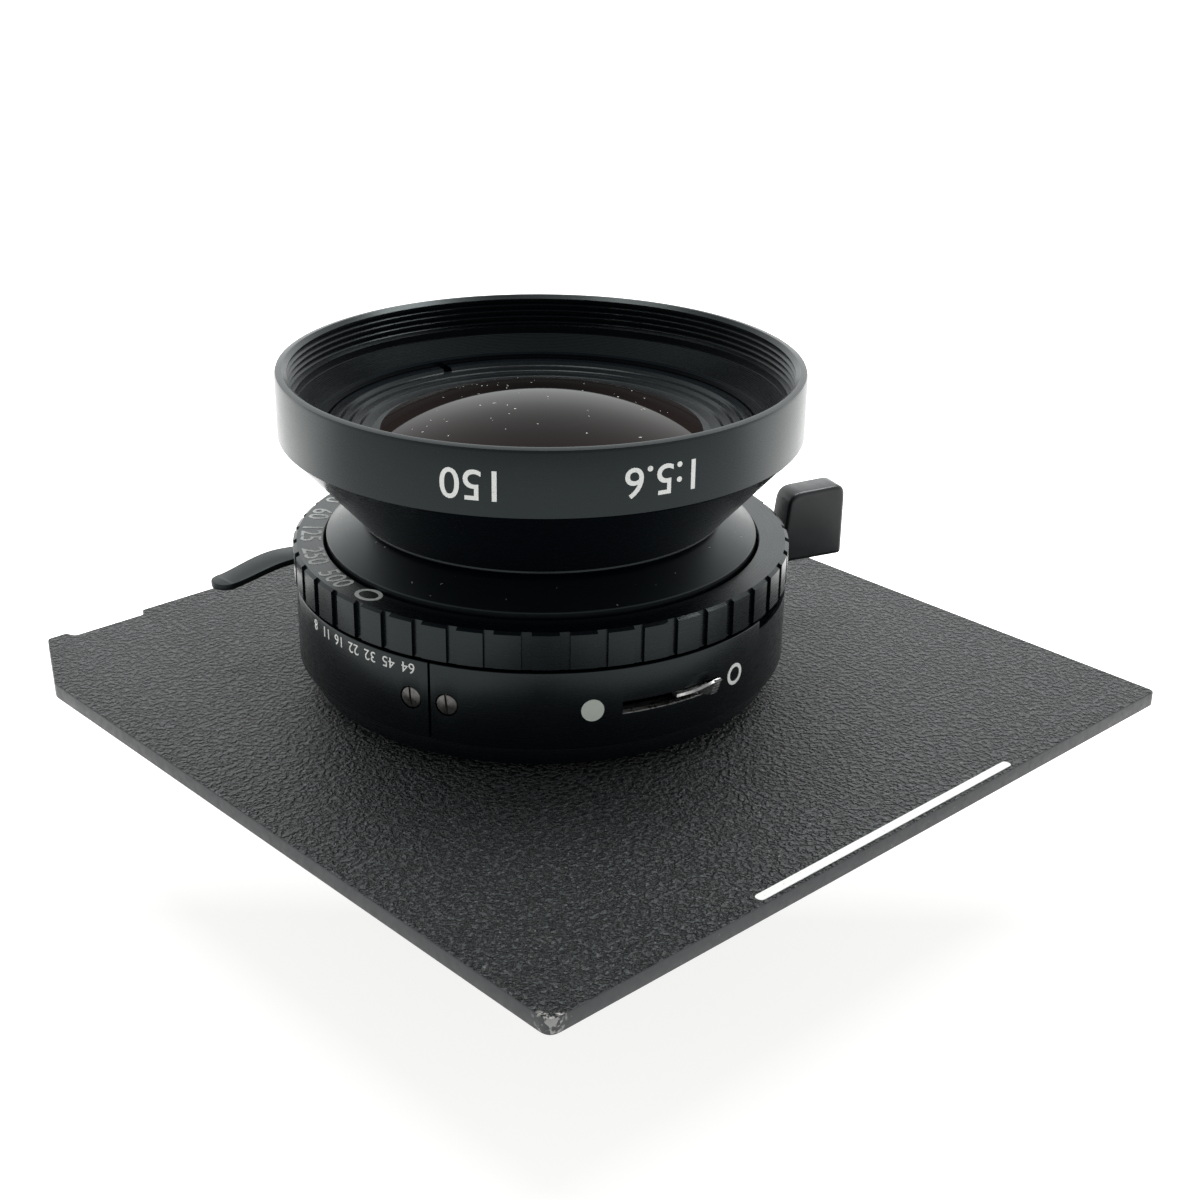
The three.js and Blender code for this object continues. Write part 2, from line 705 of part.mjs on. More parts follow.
for (let i = 0; i < BLADE_COUNT; i += 1) {
  const start = (i * 360) / BLADE_COUNT;
  const shutter = { pivotR: 21.6, inner: 13.2, outer: 23.6, span: 62, thickness: 0.15 };
  const iris = { pivotR: 20.8, inner: 13.0, outer: 22.4, span: 66, thickness: 0.12 };
  const shutterZ = SHUTTER_BLADE_Z + i * BLADE_PITCH;
  const irisZ = IRIS_BLADE_Z + i * BLADE_PITCH;
  add(`shutter_blade_${i + 1}`, blade({ ...shutter, start, z: shutterZ }), BLADE_STEEL());
  add(`iris_blade_${i + 1}`, blade({ ...iris, start: start + 20, z: irisZ }), BLADE_STEEL());
}

// Ring that drives the shutter blades, with the press-focus tab that comes out through the band.
const TAB_FROM = -99.5;
const TAB_TO = -90.2;
const TAB_Z = SLOT_Z;

function pressFocusTab() {
  const stem = plate(sector(26.2, 29.9, TAB_FROM, TAB_TO), TAB_Z - 0.3, TAB_Z + 0.3, 6);
  const grip = plate(sector(29.2, 30.3, TAB_TO - 4.2, TAB_TO), TAB_Z - 1.0, TAB_Z + 0.75, 6);
  return join(stem, [grip]);
}

add('blade_ring', ring(17.0, 25.8, BLADE_RING_Z, BLADE_RING_Z + 1.3, COARSE), STEEL());
add('press_focus_tab', pressFocusTab(), STEEL());

// ---------------------------------------------------------------- aperture control

const APERTURE_ANGLE = 50; // lever at full aperture

// The ring turns round the foot of the housing, and its lever rises beside the band.
function apertureLever() {
  const stem = radialBlock(27.7, 31.0, 2.6, 1.6, 2.4, APERTURE_ANGLE);
  const finger = radialBlock(29.9, 31.1, 2.6, 1.6, 9.0, APERTURE_ANGLE);
  return join(stem, [finger]);
}

add('aperture_ring', ring(BASE_R + GAP, 27.4, 0.7, 2.9, MEDIUM), BLACK_ANODISED());
add('aperture_lever', apertureLever(), STEEL());
add('iris_cam_ring', ring(13.2, BASE_INNER_R - GAP, 3.25, 4.05, COARSE), STEEL());

// ---------------------------------------------------------------- front cell

const FRONT_BORE_R = FRONT_GLASS_R + GAP;
const INNER_BORE_R = 14.2;
const POCKET_R = 24.7;

function frontBarrel() {
  return turned([
    [HOOD_R - 0.7, HOOD_TOP_Z],
    [FILTER_R + 0.2, HOOD_TOP_Z],
    [FILTER_R, HOOD_TOP_Z - 0.4],
    [FILTER_R, 33.5],
    [28.1, 33.2],
    [28.1, 32.8],
    [POCKET_R + 1.0, 31.0],
    [POCKET_R, 31.0],
    [POCKET_R, 28.6],
    [FRONT_BORE_R, 28.6],
    [FRONT_BORE_R, 21.0],
    [INNER_BORE_R, 20.4],
    [INNER_BORE_R, 15.1],
    [13.0, 15.1],
    [13.0, 10.6],
    [THREAD_R, 10.6],
    [THREAD_R, FRONT_SEAT_Z + 0.15],
    [19.2, FRONT_SEAT_Z + 0.15],
    [19.2, LIP_Z - 0.6],
    [LIP_R - 0.2, LIP_Z - 0.45],
    [LIP_R, LIP_Z],
    [HOOD_BASE_R - 0.3, HOOD_BASE_Z - 0.25],
    [HOOD_BASE_R, HOOD_BASE_Z],
    [HOOD_R, HOOD_TOP_Z - 0.4],
  ], FINE);
}

// Threaded ring that holds the front glass, with two slots for a spanner.
function frontRetainingRing() {
  const ringGeometry = turned([
    [FRONT_BORE_R + 0.2, 28.9],
    [POCKET_R - GAP, 28.9],
    [POCKET_R - GAP, 30.3],
    [22.6, 30.3],
    [22.4, 29.8],
    [20.6, 29.7],
  ], FINE);
  const slots = [79, 259].map((angle) => radialBlock(22.9, 26, 1.2, 29.5, 31, angle));
  return cut(ringGeometry, slots);
}

add('front_barrel', frontBarrel(), BLACK_ANODISED());
add('front_retaining_ring', frontRetainingRing(), BLACK_ANODISED());

const FRONT_OUTER_REAR = [26.0, 70];
const FRONT_CEMENT_FRONT = [26.0 - GAP, 70];
add('front_outer_element', element(
  FRONT_GLASS_R, [FRONT_GLASS_APEX_Z, FRONT_GLASS_CURVE], FRONT_OUTER_REAR, MEDIUM,
), GLASS());
add('front_cemented_element', element(16.0, FRONT_CEMENT_FRONT, [23.6, 60], COARSE), GLASS());
add('front_spacer_ring', ring(16.3, 18.4, 21.4, 23.0, COARSE), BLACK_LACQUER());
add('front_inner_element', element(INNER_BORE_R - GAP, [19.2, 40], [17.0, 60], COARSE), GLASS());
add('front_inner_retaining_ring', ring(12.9, INNER_BORE_R - 0.2, 17.4, 19.6, COARSE), BLACK_LACQUER());

// ---------------------------------------------------------------- rear cell

const REAR_SEAT_Z = TUBE_END_Z - 0.15;
const REAR_BORE_R = REAR_GLASS_R + GAP;

function rearBarrel() {
  return turned([
    [THREAD_R, 0.2],
    [12.8, 0.2],
    [12.8, -5.6],
    [14.0, -5.6],
    [14.0, -10.2],
    [REAR_BORE_R, -10.2],
    [REAR_BORE_R, -17.2],
    [19.0, -17.2],
    [19.0, -19.6],
    [19.4, REAR_RIM_Z],
    [REAR_R - 0.5, REAR_RIM_Z],
    [REAR_R, REAR_RIM_Z + 0.5],
    [REAR_R, -7.4],
    [REAR_R - 1.4, REAR_SEAT_Z],
    [THREAD_R, REAR_SEAT_Z],
  ], FINE);
}

const REAR_GLASS_APEX_Z = -19.4;
add('rear_barrel', rearBarrel(), BLACK_ANODISED());
add('rear_inner_element', element(13.6, [-7.6, -60], [-9.4, -40], COARSE), GLASS());
add('rear_inner_retaining_ring', ring(12.6, 13.8, -9.9, -7.7, COARSE), BLACK_LACQUER());
add('rear_cemented_element', element(15.6, [-12.4, -70], [-14.0, -90], COARSE), GLASS());
add('rear_outer_element', element(
  REAR_GLASS_R, [-14.0 - GAP, -90], [REAR_GLASS_APEX_Z, -REAR_GLASS_CURVE], MEDIUM,
), GLASS());
add('rear_retaining_ring', ring(REAR_GLASS_R + 0.2, 18.7, -18.9, -17.5, MEDIUM), BLACK_ANODISED());

export default root;
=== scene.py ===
"""The looks of a view-camera lens in a leaf shutter on its lens board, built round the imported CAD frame.

Pieces are drawn in millimetres, with the optical axis at x = y = 0 and the front face of the board at
z = 0, and piece() moves them into the frame's own metres. Angles are in degrees round the axis.
"""

import json
import math
import random

import bmesh
import bpy
from mathutils import Matrix, Vector


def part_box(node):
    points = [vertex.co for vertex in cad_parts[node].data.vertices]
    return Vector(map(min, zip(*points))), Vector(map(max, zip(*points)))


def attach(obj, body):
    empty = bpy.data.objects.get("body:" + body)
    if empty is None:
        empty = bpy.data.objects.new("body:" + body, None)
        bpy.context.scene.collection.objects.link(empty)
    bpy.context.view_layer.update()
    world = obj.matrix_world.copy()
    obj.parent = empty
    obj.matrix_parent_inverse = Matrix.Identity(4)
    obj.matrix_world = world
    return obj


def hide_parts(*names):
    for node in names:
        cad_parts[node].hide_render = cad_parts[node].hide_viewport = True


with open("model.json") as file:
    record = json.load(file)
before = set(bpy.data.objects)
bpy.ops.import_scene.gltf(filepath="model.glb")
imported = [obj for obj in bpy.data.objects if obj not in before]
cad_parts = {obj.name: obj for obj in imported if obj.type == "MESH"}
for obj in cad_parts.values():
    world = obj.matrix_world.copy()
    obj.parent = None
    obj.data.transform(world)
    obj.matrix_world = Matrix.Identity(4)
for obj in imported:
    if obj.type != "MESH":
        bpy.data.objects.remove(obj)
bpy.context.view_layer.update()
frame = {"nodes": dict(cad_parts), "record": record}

MM = 0.001
ROOT = "lens_and_board"
scene = bpy.context.scene
random.seed(7)


# ------------ measures taken from the frame


def corners(node):
    """Lowest and highest corner of a CAD node, in millimetres in the frame."""
    low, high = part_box(node)
    return low / MM, high / MM


barrel_low, barrel_high = corners("front_barrel")
board_low, board_high = corners("lens_board")
AXIS = Vector(((barrel_low.x + barrel_high.x) / 2, (barrel_low.y + barrel_high.y) / 2, board_high.z))
TO_FRAME = Matrix.Translation(AXIS * MM) @ Matrix.Scale(MM, 4)


def radius(node):
    """Outer radius of a round CAD node that stands on the optical axis."""
    low, high = corners(node)
    return (high.x - low.x) / 2


def bottom(node):
    return corners(node)[0].z - AXIS.z


def top(node):
    return corners(node)[1].z - AXIS.z


HOOD_R = radius("front_barrel")
HOOD_TOP = top("front_barrel")
COVER_R = radius("front_cover")
COVER_TOP = top("front_cover")
RING_R = radius("speed_ring")
RING_TOP = top("speed_ring")
RING_LOW = bottom("speed_ring")
BAND_R = radius("outer_band")
BAND_TOP = top("outer_band")
BAND_LOW = bottom("outer_band")
REAR_R = radius("rear_barrel")
REAR_LOW = bottom("rear_barrel")


# ------------ camera, floor and light

CAMERA_TURN = -43.382
CAMERA_RISE = 24.025
CAMERA_ROLL = 0.873
CAMERA_DISTANCE = 228.84
CAMERA_PAN = (6.96, 7.35)
CAMERA_LENS = 56.64
SENSOR = 36
TABLE_HALF = 6.0
TABLE_GLOW_FROM, TABLE_GLOW_TO = -60, 25
TABLE_BACK_GLOW, TABLE_FRONT_GLOW = 2.0, 0.84
PANELS = {"panel_back": (170, 72), "panel_right": (95, 62)}
PANEL_WIDTH, PANEL_DEPTH = 0.42, 0.3
PANEL_DISTANCE = 1.0
PANEL_POWER = 4.2
WALL_COLOR = (0.98, 1.0, 1.0, 1)
WALL_DIM_FROM, WALL_DIM_TO, WALL_DIM = 0.35, 0.85, 0.3
WALL_BACK_GLOW, WALL_FRONT_GLOW = 1.7, 0.4


def direction(turn, rise):
    """The way from the object towards a place at this azimuth and elevation."""
    a, e = math.radians(turn), math.radians(rise)
    return Vector((math.sin(a) * math.cos(e), -math.cos(a) * math.cos(e), math.sin(e)))


def link(name, data):
    obj = bpy.data.objects.new(name, data)
    scene.collection.objects.link(obj)
    return obj


def make_camera():
    back = direction(CAMERA_TURN, CAMERA_RISE)
    right = (-back).cross(Vector((0, 0, 1))).normalized()
    up = right.cross(-back)
    place = AXIS + back * CAMERA_DISTANCE + right * CAMERA_PAN[0] + up * CAMERA_PAN[1]
    roll = math.radians(CAMERA_ROLL)
    rolled_right = right * math.cos(roll) + up * math.sin(roll)
    rolled_up = up * math.cos(roll) - right * math.sin(roll)
    data = bpy.data.cameras.new("camera")
    data.lens = CAMERA_LENS
    data.sensor_width = SENSOR
    data.clip_start = 0.01
    data.clip_end = 30
    camera = link("camera", data)
    turn = Matrix((rolled_right, rolled_up, back)).transposed()
    camera.matrix_world = Matrix.Translation(place * MM) @ turn.to_4x4()
    scene.camera = camera


def add_panel(name, turn, rise):
    """A soft panel that faces the lens from this azimuth and elevation."""
    data = bpy.data.lights.new(name, "AREA")
    data.shape = "RECTANGLE"
    data.size = PANEL_WIDTH
    data.size_y = PANEL_DEPTH
    data.energy = PANEL_POWER
    lamp = link(name, data)
    way = direction(turn, rise)
    lamp.location = AXIS * MM + way * PANEL_DISTANCE
    lamp.rotation_mode = "QUATERNION"
    lamp.rotation_quaternion = way.to_track_quat("Z", "Y")


def make_table():
    """A white table that runs out of view."""
    half = TABLE_HALF
    mesh = bpy.data.meshes.new("table")
    rim = [(-half, -half, 0), (half, -half, 0), (half, half, 0), (-half, half, 0)]
    mesh.from_pydata(rim, [], [(0, 1, 2, 3)])
    table = link("table", mesh)
    mesh.materials.append(table_top())


def add_node(tree, kind, inputs=(), **settings):
    """A shader node whose inputs are set to values or linked to sockets."""
    made = tree.nodes.new("ShaderNode" + kind)
    for key, value in settings.items():
        setattr(made, key, value)
    for key, value in dict(inputs).items():
        if isinstance(value, bpy.types.NodeSocket):
            tree.links.new(value, made.inputs[key])
        else:
            made.inputs[key].default_value = value
    return made


def make_walls():
    """Pale walls all round: brightest behind the lens, dimmer overhead and on the camera's side."""
    world = bpy.data.worlds.new("room")
    world.use_nodes = True
    scene.world = world
    tree = world.node_tree
    where = add_node(tree, "TexCoord").outputs["Generated"]
    rise = add_node(tree, "SeparateXYZ", {0: where}).outputs["Z"]
    upwards = {"Value": rise, "From Min": WALL_DIM_FROM, "From Max": WALL_DIM_TO}
    upwards |= {"To Min": 1.0, "To Max": WALL_DIM}
    height = add_node(tree, "MapRange", upwards).outputs[0]
    towards = {0: where, 1: direction(CAMERA_TURN, 0)}
    along = add_node(tree, "VectorMath", towards, operation="DOT_PRODUCT").outputs["Value"]
    forwards = {"Value": along, "From Min": -1.0, "To Min": WALL_BACK_GLOW, "To Max": WALL_FRONT_GLOW}
    depth = add_node(tree, "MapRange", forwards).outputs[0]
    glow = add_node(tree, "Math", {0: height, 1: depth}, operation="MULTIPLY").outputs[0]
    background = tree.nodes["Background"]
    background.inputs["Color"].default_value = WALL_COLOR
    tree.links.new(glow, background.inputs["Strength"])


def make_room():
    make_table()
    for name, (turn, rise) in PANELS.items():
        add_panel(name, turn, rise)
    make_walls()
    scene.view_settings.view_transform = "Standard"


# ------------ materials

# radius, in millimetres, of the painted reflection ring in the glass colour
INNER_REFLECTION_R = 8.5


class Finish:
    """A material under construction: a Principled shader with helpers that read places in millimetres."""

    def __init__(self, name, color, roughness, metallic=0.0):
        self.material = bpy.data.materials.new(name)
        self.material.use_nodes = True
        self.tree = self.material.node_tree
        self.shader = self.tree.nodes["Principled BSDF"]
        self.set("Base Color", (*color, 1))
        self.set("Roughness", roughness)
        self.set("Metallic", metallic)
        where = self.tree.nodes.new("ShaderNodeTexCoord")
        shift = self.tree.nodes.new("ShaderNodeMapping")
        shift.vector_type = "TEXTURE"
        shift.inputs["Location"].default_value = AXIS * MM
        shift.inputs["Scale"].default_value = (MM, MM, MM)
        self.link(where.outputs["Object"], shift.inputs["Vector"])
        self.place = shift.outputs["Vector"]
        self.normal = None

    def link(self, source, target):
        self.tree.links.new(source, target)

    def set(self, socket, value):
        self.shader.inputs[socket].default_value = value

    def node(self, kind, inputs=(), **settings):
        return add_node(self.tree, kind, inputs, **settings)

    def math(self, operation, a, b):
        return self.node("Math", {0: a, 1: b}, operation=operation).outputs[0]

    def noise(self, size, detail=3.0, rough=0.5, place=None):
        """Cloudy noise whose lumps are about size millimetres wide, from 0 to 1."""
        place = place or self.place
        inputs = {"Vector": place, "Scale": 1 / size, "Detail": detail, "Roughness": rough}
        return self.node("TexNoise", inputs).outputs[0]

    def from_axis(self):
        """Distance from the optical axis in millimetres."""
        split = self.node("SeparateXYZ", {0: self.place})
        flat = self.node("CombineXYZ", {0: split.outputs[0], 1: split.outputs[1]}).outputs[0]
        return self.node("VectorMath", {0: flat}, operation="LENGTH").outputs["Value"]

    def span(self, value, low, high, to_low=0.0, to_high=1.0):
        """Maps low..high of a value to to_low..to_high, held at its ends."""
        inputs = {"Value": value, "From Min": low, "From Max": high, "To Min": to_low, "To Max": to_high}
        return self.node("MapRange", inputs).outputs[0]

    def turned(self, across=0.12, along=6.0):
        """Streaks that run round the axis, as a lathe tool leaves them."""
        split = self.node("SeparateXYZ", {0: self.place})
        angle = self.math("ARCTAN2", split.outputs[1], split.outputs[0])
        inputs = {
            0: self.math("DIVIDE", self.from_axis(), across),
            1: self.math("DIVIDE", split.outputs[2], across),
            2: self.math("MULTIPLY", angle, 30 / along),
        }
        return self.noise(1.0, 2.0, 0.6, self.node("CombineXYZ", inputs).outputs[0])

    def roughness(self, value):
        self.link(value, self.shader.inputs["Roughness"])

    def color(self, share, first, second):
        """Mixes two colours, given as colours or sockets, by a share."""
        mixed = self.node("Mix", {0: share}, data_type="RGBA")
        for slot, value in (("A_Color", first), ("B_Color", second)):
            socket = next(s for s in mixed.inputs if s.identifier == slot)
            if isinstance(value, bpy.types.NodeSocket):
                self.link(value, socket)
            else:
                socket.default_value = (*value, 1)
        result = next(s for s in mixed.outputs if s.identifier == "Result_Color")
        self.link(result, self.shader.inputs["Base Color"])
        return result

    def bump(self, height, depth, strength=1.0):
        """Adds a relief of this depth in millimetres on top of what is there."""
        inputs = {"Height": height, "Distance": depth * MM, "Strength": strength}
        if self.normal:
            inputs["Normal"] = self.normal
        self.normal = self.node("Bump", inputs).outputs["Normal"]
        self.link(self.normal, self.shader.inputs["Normal"])


def table_top():
    """White laminate with a glow of its own, strongest behind the lens, so that it reads as bright light."""
    table = Finish("table_top", (0.3, 0.3, 0.3), 0.75)
    table.color(table.noise(90, 4), (0.27, 0.27, 0.27), (0.33, 0.33, 0.33))
    table.set("Specular IOR Level", 0.1)
    table.set("Emission Color", (1.0, 1.0, 0.985, 1))
    towards = {0: table.place, 1: direction(CAMERA_TURN, 0)}
    along = table.node("VectorMath", towards, operation="DOT_PRODUCT").outputs["Value"]
    glow = table.span(along, TABLE_GLOW_FROM, TABLE_GLOW_TO, TABLE_BACK_GLOW, TABLE_FRONT_GLOW)
    table.link(glow, table.shader.inputs["Emission Strength"])
    table.bump(table.noise(2.5, 5), 0.15, 0.3)
    return table.material


def dusty(finish, base, dust, amount, size):
    """Faint pale dust in a few places over a base colour."""
    cloud = finish.span(finish.noise(14, 4), 0.45, 0.75)
    grain = finish.span(finish.noise(size, 2), 0.62, 0.74)
    share = finish.math("MULTIPLY", finish.math("MULTIPLY", cloud, grain), amount)
    finish.color(share, base, dust)


def near_corner(finish, close, far):
    """1 at the rubbed front corner of the board, down to 0 between two distances from it."""
    corner = Vector((board_low.x, board_low.y, board_high.z)) - AXIS
    gone = finish.node("VectorMath", {0: finish.place, 1: corner}, operation="DISTANCE").outputs["Value"]
    return finish.span(gone, close, far, 1.0, 0.0)


def wrinkle_paint():
    """Black wrinkle paint: packed rounded grains, narrow valleys, and bare metal at the front corner. Its
    colour holds painted light: painted shade in the valleys, lighter crowns and painted glints.
    """
    paint = Finish("wrinkle_paint", (0.03, 0.031, 0.032), 0.5)
    grains = paint.span(paint.noise(0.62, 2, 0.55), 0.42, 0.60)
    # painted shade: the colour is near black in the valleys between grains and lighter on their crowns
    lit_crowns = paint.span(grains, 0.35, 0.95)
    black = paint.color(lit_crowns, (0.001, 0.002, 0.003), (0.029, 0.034, 0.035))
    # painted highlight: small pale glints scattered through the colour
    painted_glints = paint.span(paint.noise(0.42, 1), 0.64, 0.72, 0.0, 0.8)
    shaded_grain_with_glints = paint.color(painted_glints, black, (0.13, 0.145, 0.15))
    patches = paint.span(paint.noise(0.9, 3), 0.4, 0.6)
    chips = paint.math("MULTIPLY", near_corner(paint, 0.4, 2.6), patches)
    paint.color(paint.span(chips, 0.25, 0.5), shaded_grain_with_glints, (0.62, 0.61, 0.58))
    paint.roughness(paint.span(paint.noise(0.3, 3), 0.3, 0.7, 0.34, 0.5))
    fine = paint.math("MULTIPLY", paint.noise(0.2, 2, 0.6), 0.35)
    paint.bump(paint.math("ADD", grains, fine), 0.5)
    return paint.material


def board_edge():
    """The sawn edge of the board: thin satin black with the metal just showing along it."""
    edge = Finish("board_edge", (0.04, 0.042, 0.045), 0.42)
    patches = edge.span(edge.noise(0.7, 3), 0.42, 0.6)
    worn = edge.math("MULTIPLY", near_corner(edge, 0.5, 3.0), patches)
    scuffs = edge.span(edge.noise(1.1, 5, 0.7), 0.66, 0.74, 0.0, 0.5)
    share = edge.math("MAXIMUM", edge.span(worn, 0.2, 0.45), scuffs)
    edge.color(share, (0.036, 0.038, 0.041), (0.30, 0.30, 0.29))
    edge.roughness(edge.span(edge.noise(0.8, 4), 0.3, 0.7, 0.34, 0.52))
    edge.bump(edge.noise(0.35, 3), 0.02, 0.6)
    return edge.material


def black_metal(name, color, rough, dust=0.12, streak=0.004):
    """Black anodised or lacquered metal, turned on a lathe, with faint dust and a cool sheen."""
    metal = Finish(name, color, rough)
    metal.set("Specular IOR Level", 0.38)
    metal.set("Specular Tint", (0.86, 1.0, 1.0, 1))
    pale = tuple(min(1.0, c + 0.07) for c in color)
    dusty(metal, color, pale, dust, 0.35)
    streaks = metal.turned()
    cloud = metal.noise(5, 4)
    spread = metal.math("ADD", metal.math("MULTIPLY", streaks, 0.12), metal.math("MULTIPLY", cloud, 0.10))
    metal.roughness(metal.math("ADD", spread, rough - 0.11))
    metal.bump(streaks, streak, 0.3)
    metal.bump(metal.noise(0.12, 2), 0.0015, 0.5)
    return metal.material


def white_paint(name, color, wear):
    """Filled index paint, thin and specked where it is worn."""
    paint = Finish(name, color, 0.55)
    specks = paint.span(paint.noise(0.45, 4, 0.65), 0.62, 0.72, 0.0, wear)
    paint.color(specks, color, (0.16, 0.16, 0.155))
    paint.bump(paint.noise(0.25, 3), 0.01, 0.5)
    return paint.material


def bright_metal(name, color, rough):
    """Bare steel or brass with tool marks and small tarnish spots."""
    metal = Finish(name, color, rough, 1.0)
    dark = tuple(c * 0.55 for c in color)
    metal.color(metal.span(metal.noise(1.4, 5, 0.6), 0.5, 0.72), color, dark)
    metal.roughness(metal.span(metal.noise(0.4, 4), 0.3, 0.7, rough - 0.08, rough + 0.12))
    metal.bump(metal.noise(0.15, 3), 0.006, 0.5)
    return metal.material


def moulded_plastic():
    """Smooth black plastic, slightly glossy and slightly uneven."""
    color = (0.008, 0.010, 0.012)
    plastic = Finish("black_plastic", color, 0.36)
    dusty(plastic, color, (0.10, 0.10, 0.10), 0.3, 0.3)
    plastic.roughness(plastic.span(plastic.noise(1.5, 4), 0.3, 0.7, 0.3, 0.44))
    plastic.bump(plastic.noise(0.35, 3), 0.012, 0.5)
    plastic.set("Coat Weight", 0.25)
    plastic.set("Coat Roughness", 0.22)
    return plastic.material


def coated_glass(name, color):
    """Coated glass: clear from the front and a dark mirror at a shallow angle. Its colour holds painted
    light: a faint painted reflection ring of an inner element, and painted shade darker towards the middle.
    """
    glass = Finish(name, color, 0.02)
    glass.set("IOR", 1.6)
    glass.set("Specular IOR Level", 0.06)
    glass.set("Specular Tint", (1.0, 0.93, 0.90, 1))
    facing = glass.node("LayerWeight", {"Blend": 0.5}).outputs["Facing"]
    clear = glass.span(facing, 0.10, 0.28, 0.95, 0.0)
    glass.link(clear, glass.shader.inputs["Transmission Weight"])
    away = glass.from_axis()
    # painted reflection: a faint pale ring in the colour at the radius of an inner element's rim
    off_reflection_ring = glass.math("ABSOLUTE", glass.math("SUBTRACT", away, INNER_REFLECTION_R), 0.0)
    ring = glass.math("MULTIPLY", glass.span(off_reflection_ring, 0.0, 1.6, 1.0, 0.0), 0.55)
    # painted light: the glass colour darkens towards the middle and lightens towards the rim
    middle_shade_rim_light = glass.span(away, 4.0, 17.0, 0.15, 1.0)
    glass.color(glass.math("MAXIMUM", ring, middle_shade_rim_light), (0.004, 0.004, 0.004), color)
    glass.roughness(glass.span(glass.noise(3, 5, 0.6), 0.45, 0.8, 0.015, 0.06))
    return glass.material


def fluff():
    """Pale dry dust."""
    dust = Finish("dust", (0.72, 0.72, 0.68), 0.9)
    dust.color(dust.noise(0.3, 2), (0.60, 0.60, 0.56), (0.82, 0.82, 0.79))
    return dust.material


BLACK = (0.0007, 0.0015, 0.0030)
MATERIALS = {
    "wrinkle_paint": wrinkle_paint(),
    "board_edge": board_edge(),
    "white_paint": white_paint("white_paint", (0.86, 0.87, 0.85), 0.6),
    "grey_paint": white_paint("grey_paint", (0.70, 0.73, 0.71), 0.25),
    "dot_paint": white_paint("dot_paint", (0.60, 0.64, 0.58), 0.1),
    "black_anodised": black_metal("black_anodised", BLACK, 0.27),
    "black_satin": black_metal("black_satin", BLACK, 0.3, 0.05, 0.003),
    "black_lacquer": black_metal("black_lacquer", (0.004, 0.0045, 0.005), 0.45, 0.1),
    "black_plastic": moulded_plastic(),
    "steel": bright_metal("steel", (0.60, 0.60, 0.59), 0.3),
    "dark_steel": bright_metal("dark_steel", (0.16, 0.155, 0.15), 0.34),
    "brass": bright_metal("brass", (0.62, 0.46, 0.22), 0.3),
    "coated_glass": coated_glass("coated_glass", (0.020, 0.015, 0.014)),
    "dust": fluff(),
}


def finish_cad_nodes():
    """Gives every CAD node the material of its own slot, for those that stay in view."""
    slots = {part["node"]: part["material_slot"] for part in frame["record"]["subparts"]}
    for name, node in frame["nodes"].items():
        node.data.materials.clear()
        node.data.materials.append(MATERIALS[slots[name]])


# ------------ mesh helpers


def finished(work):
    """Turns a bmesh into a mesh with merged corners and faces that point out."""
    bmesh.ops.remove_doubles(work, verts=work.verts, dist=1e-4)
    bmesh.ops.recalc_face_normals(work, faces=work.faces)
    mesh = bpy.data.meshes.new("piece")
    work.to_mesh(mesh)
    work.free()
    return mesh


def softened(points, soft=0.0, steps=3):
    """Rounds the corners of a closed outline. A point may carry its own radius as a third number."""
    outline = []
    for i, point in enumerate(points):
        here = Vector(point[:2])
        size = point[2] if len(point) > 2 else soft
        if size == 0:
            outline.append(tuple(here))
            continue
        back = Vector(points[i - 1][:2]) - here
        on = Vector(points[(i + 1) % len(points)][:2]) - here
        start = here + back.normalized() * min(size, back.length * 0.48)
        end = here + on.normalized() * min(size, on.length * 0.48)
        for step in range(steps + 1):
            t = step / steps
            outline.append(tuple(start * (1 - t) ** 2 + here * 2 * t * (1 - t) + end * t * t))
    return outline


def lathe(profile, segments=256, angles=None, shape=None):
    """Turns a closed [radius, height] outline. shape(r, z, station) may change a radius at a station."""
    angles = angles or [360 * i / segments for i in range(segments)]
    work = bmesh.new()
    rings = []
    for station, angle in enumerate(angles):
        a = math.radians(angle)
        row = []
        for r, z in profile:
            away = shape(r, z, station) if shape else r
            row.append(work.verts.new((away * math.cos(a), away * math.sin(a), z)))
        rings.append(row)
    for here, there in zip(rings, rings[1:] + rings[:1]):
        for k in range(len(profile)):
            m = (k + 1) % len(profile)
            work.faces.new((here[k], here[m], there[m], there[k]))
    return finished(work)


def plate(outline, low, high, bevel=0.0, segments=2):
    """Extrudes a flat outline from z = low to high and rounds its two rims."""
    work = bmesh.new()
    face = work.faces.new([work.verts.new((x, y, low)) for x, y in outline])
    raised = bmesh.ops.extrude_face_region(work, geom=[face])
    tops = [v for v in raised["geom"] if isinstance(v, bmesh.types.BMVert)]
    bmesh.ops.translate(work, verts=tops, vec=(0, 0, high - low))
    if bevel:
        rims = [e for e in work.edges if abs(e.verts[0].co.z - e.verts[1].co.z) < 1e-6]
        bmesh.ops.bevel(work, geom=rims, offset=bevel, segments=segments, profile=0.5, affect="EDGES")
    return finished(work)


def block(inner, outer, width, low, high, angle):
    """A box that lies along the radius, for cutting."""
    half = width / 2
    mesh = plate([(inner, -half), (outer, -half), (outer, half), (inner, half)], low, high)
    mesh.transform(Matrix.Rotation(math.radians(angle), 4, "Z"))
    return mesh


def sector(inner, outer, start, end, low, high, step=1.5):
    """A wedge of a ring between two angles, for cutting."""
    count = max(2, round((end - start) / step))
    turns = [math.radians(start + (end - start) * i / count) for i in range(count + 1)]
    outline = [(outer * math.cos(a), outer * math.sin(a)) for a in turns]
    outline += [(inner * math.cos(a), inner * math.sin(a)) for a in reversed(turns)]
    return plate(outline, low, high)


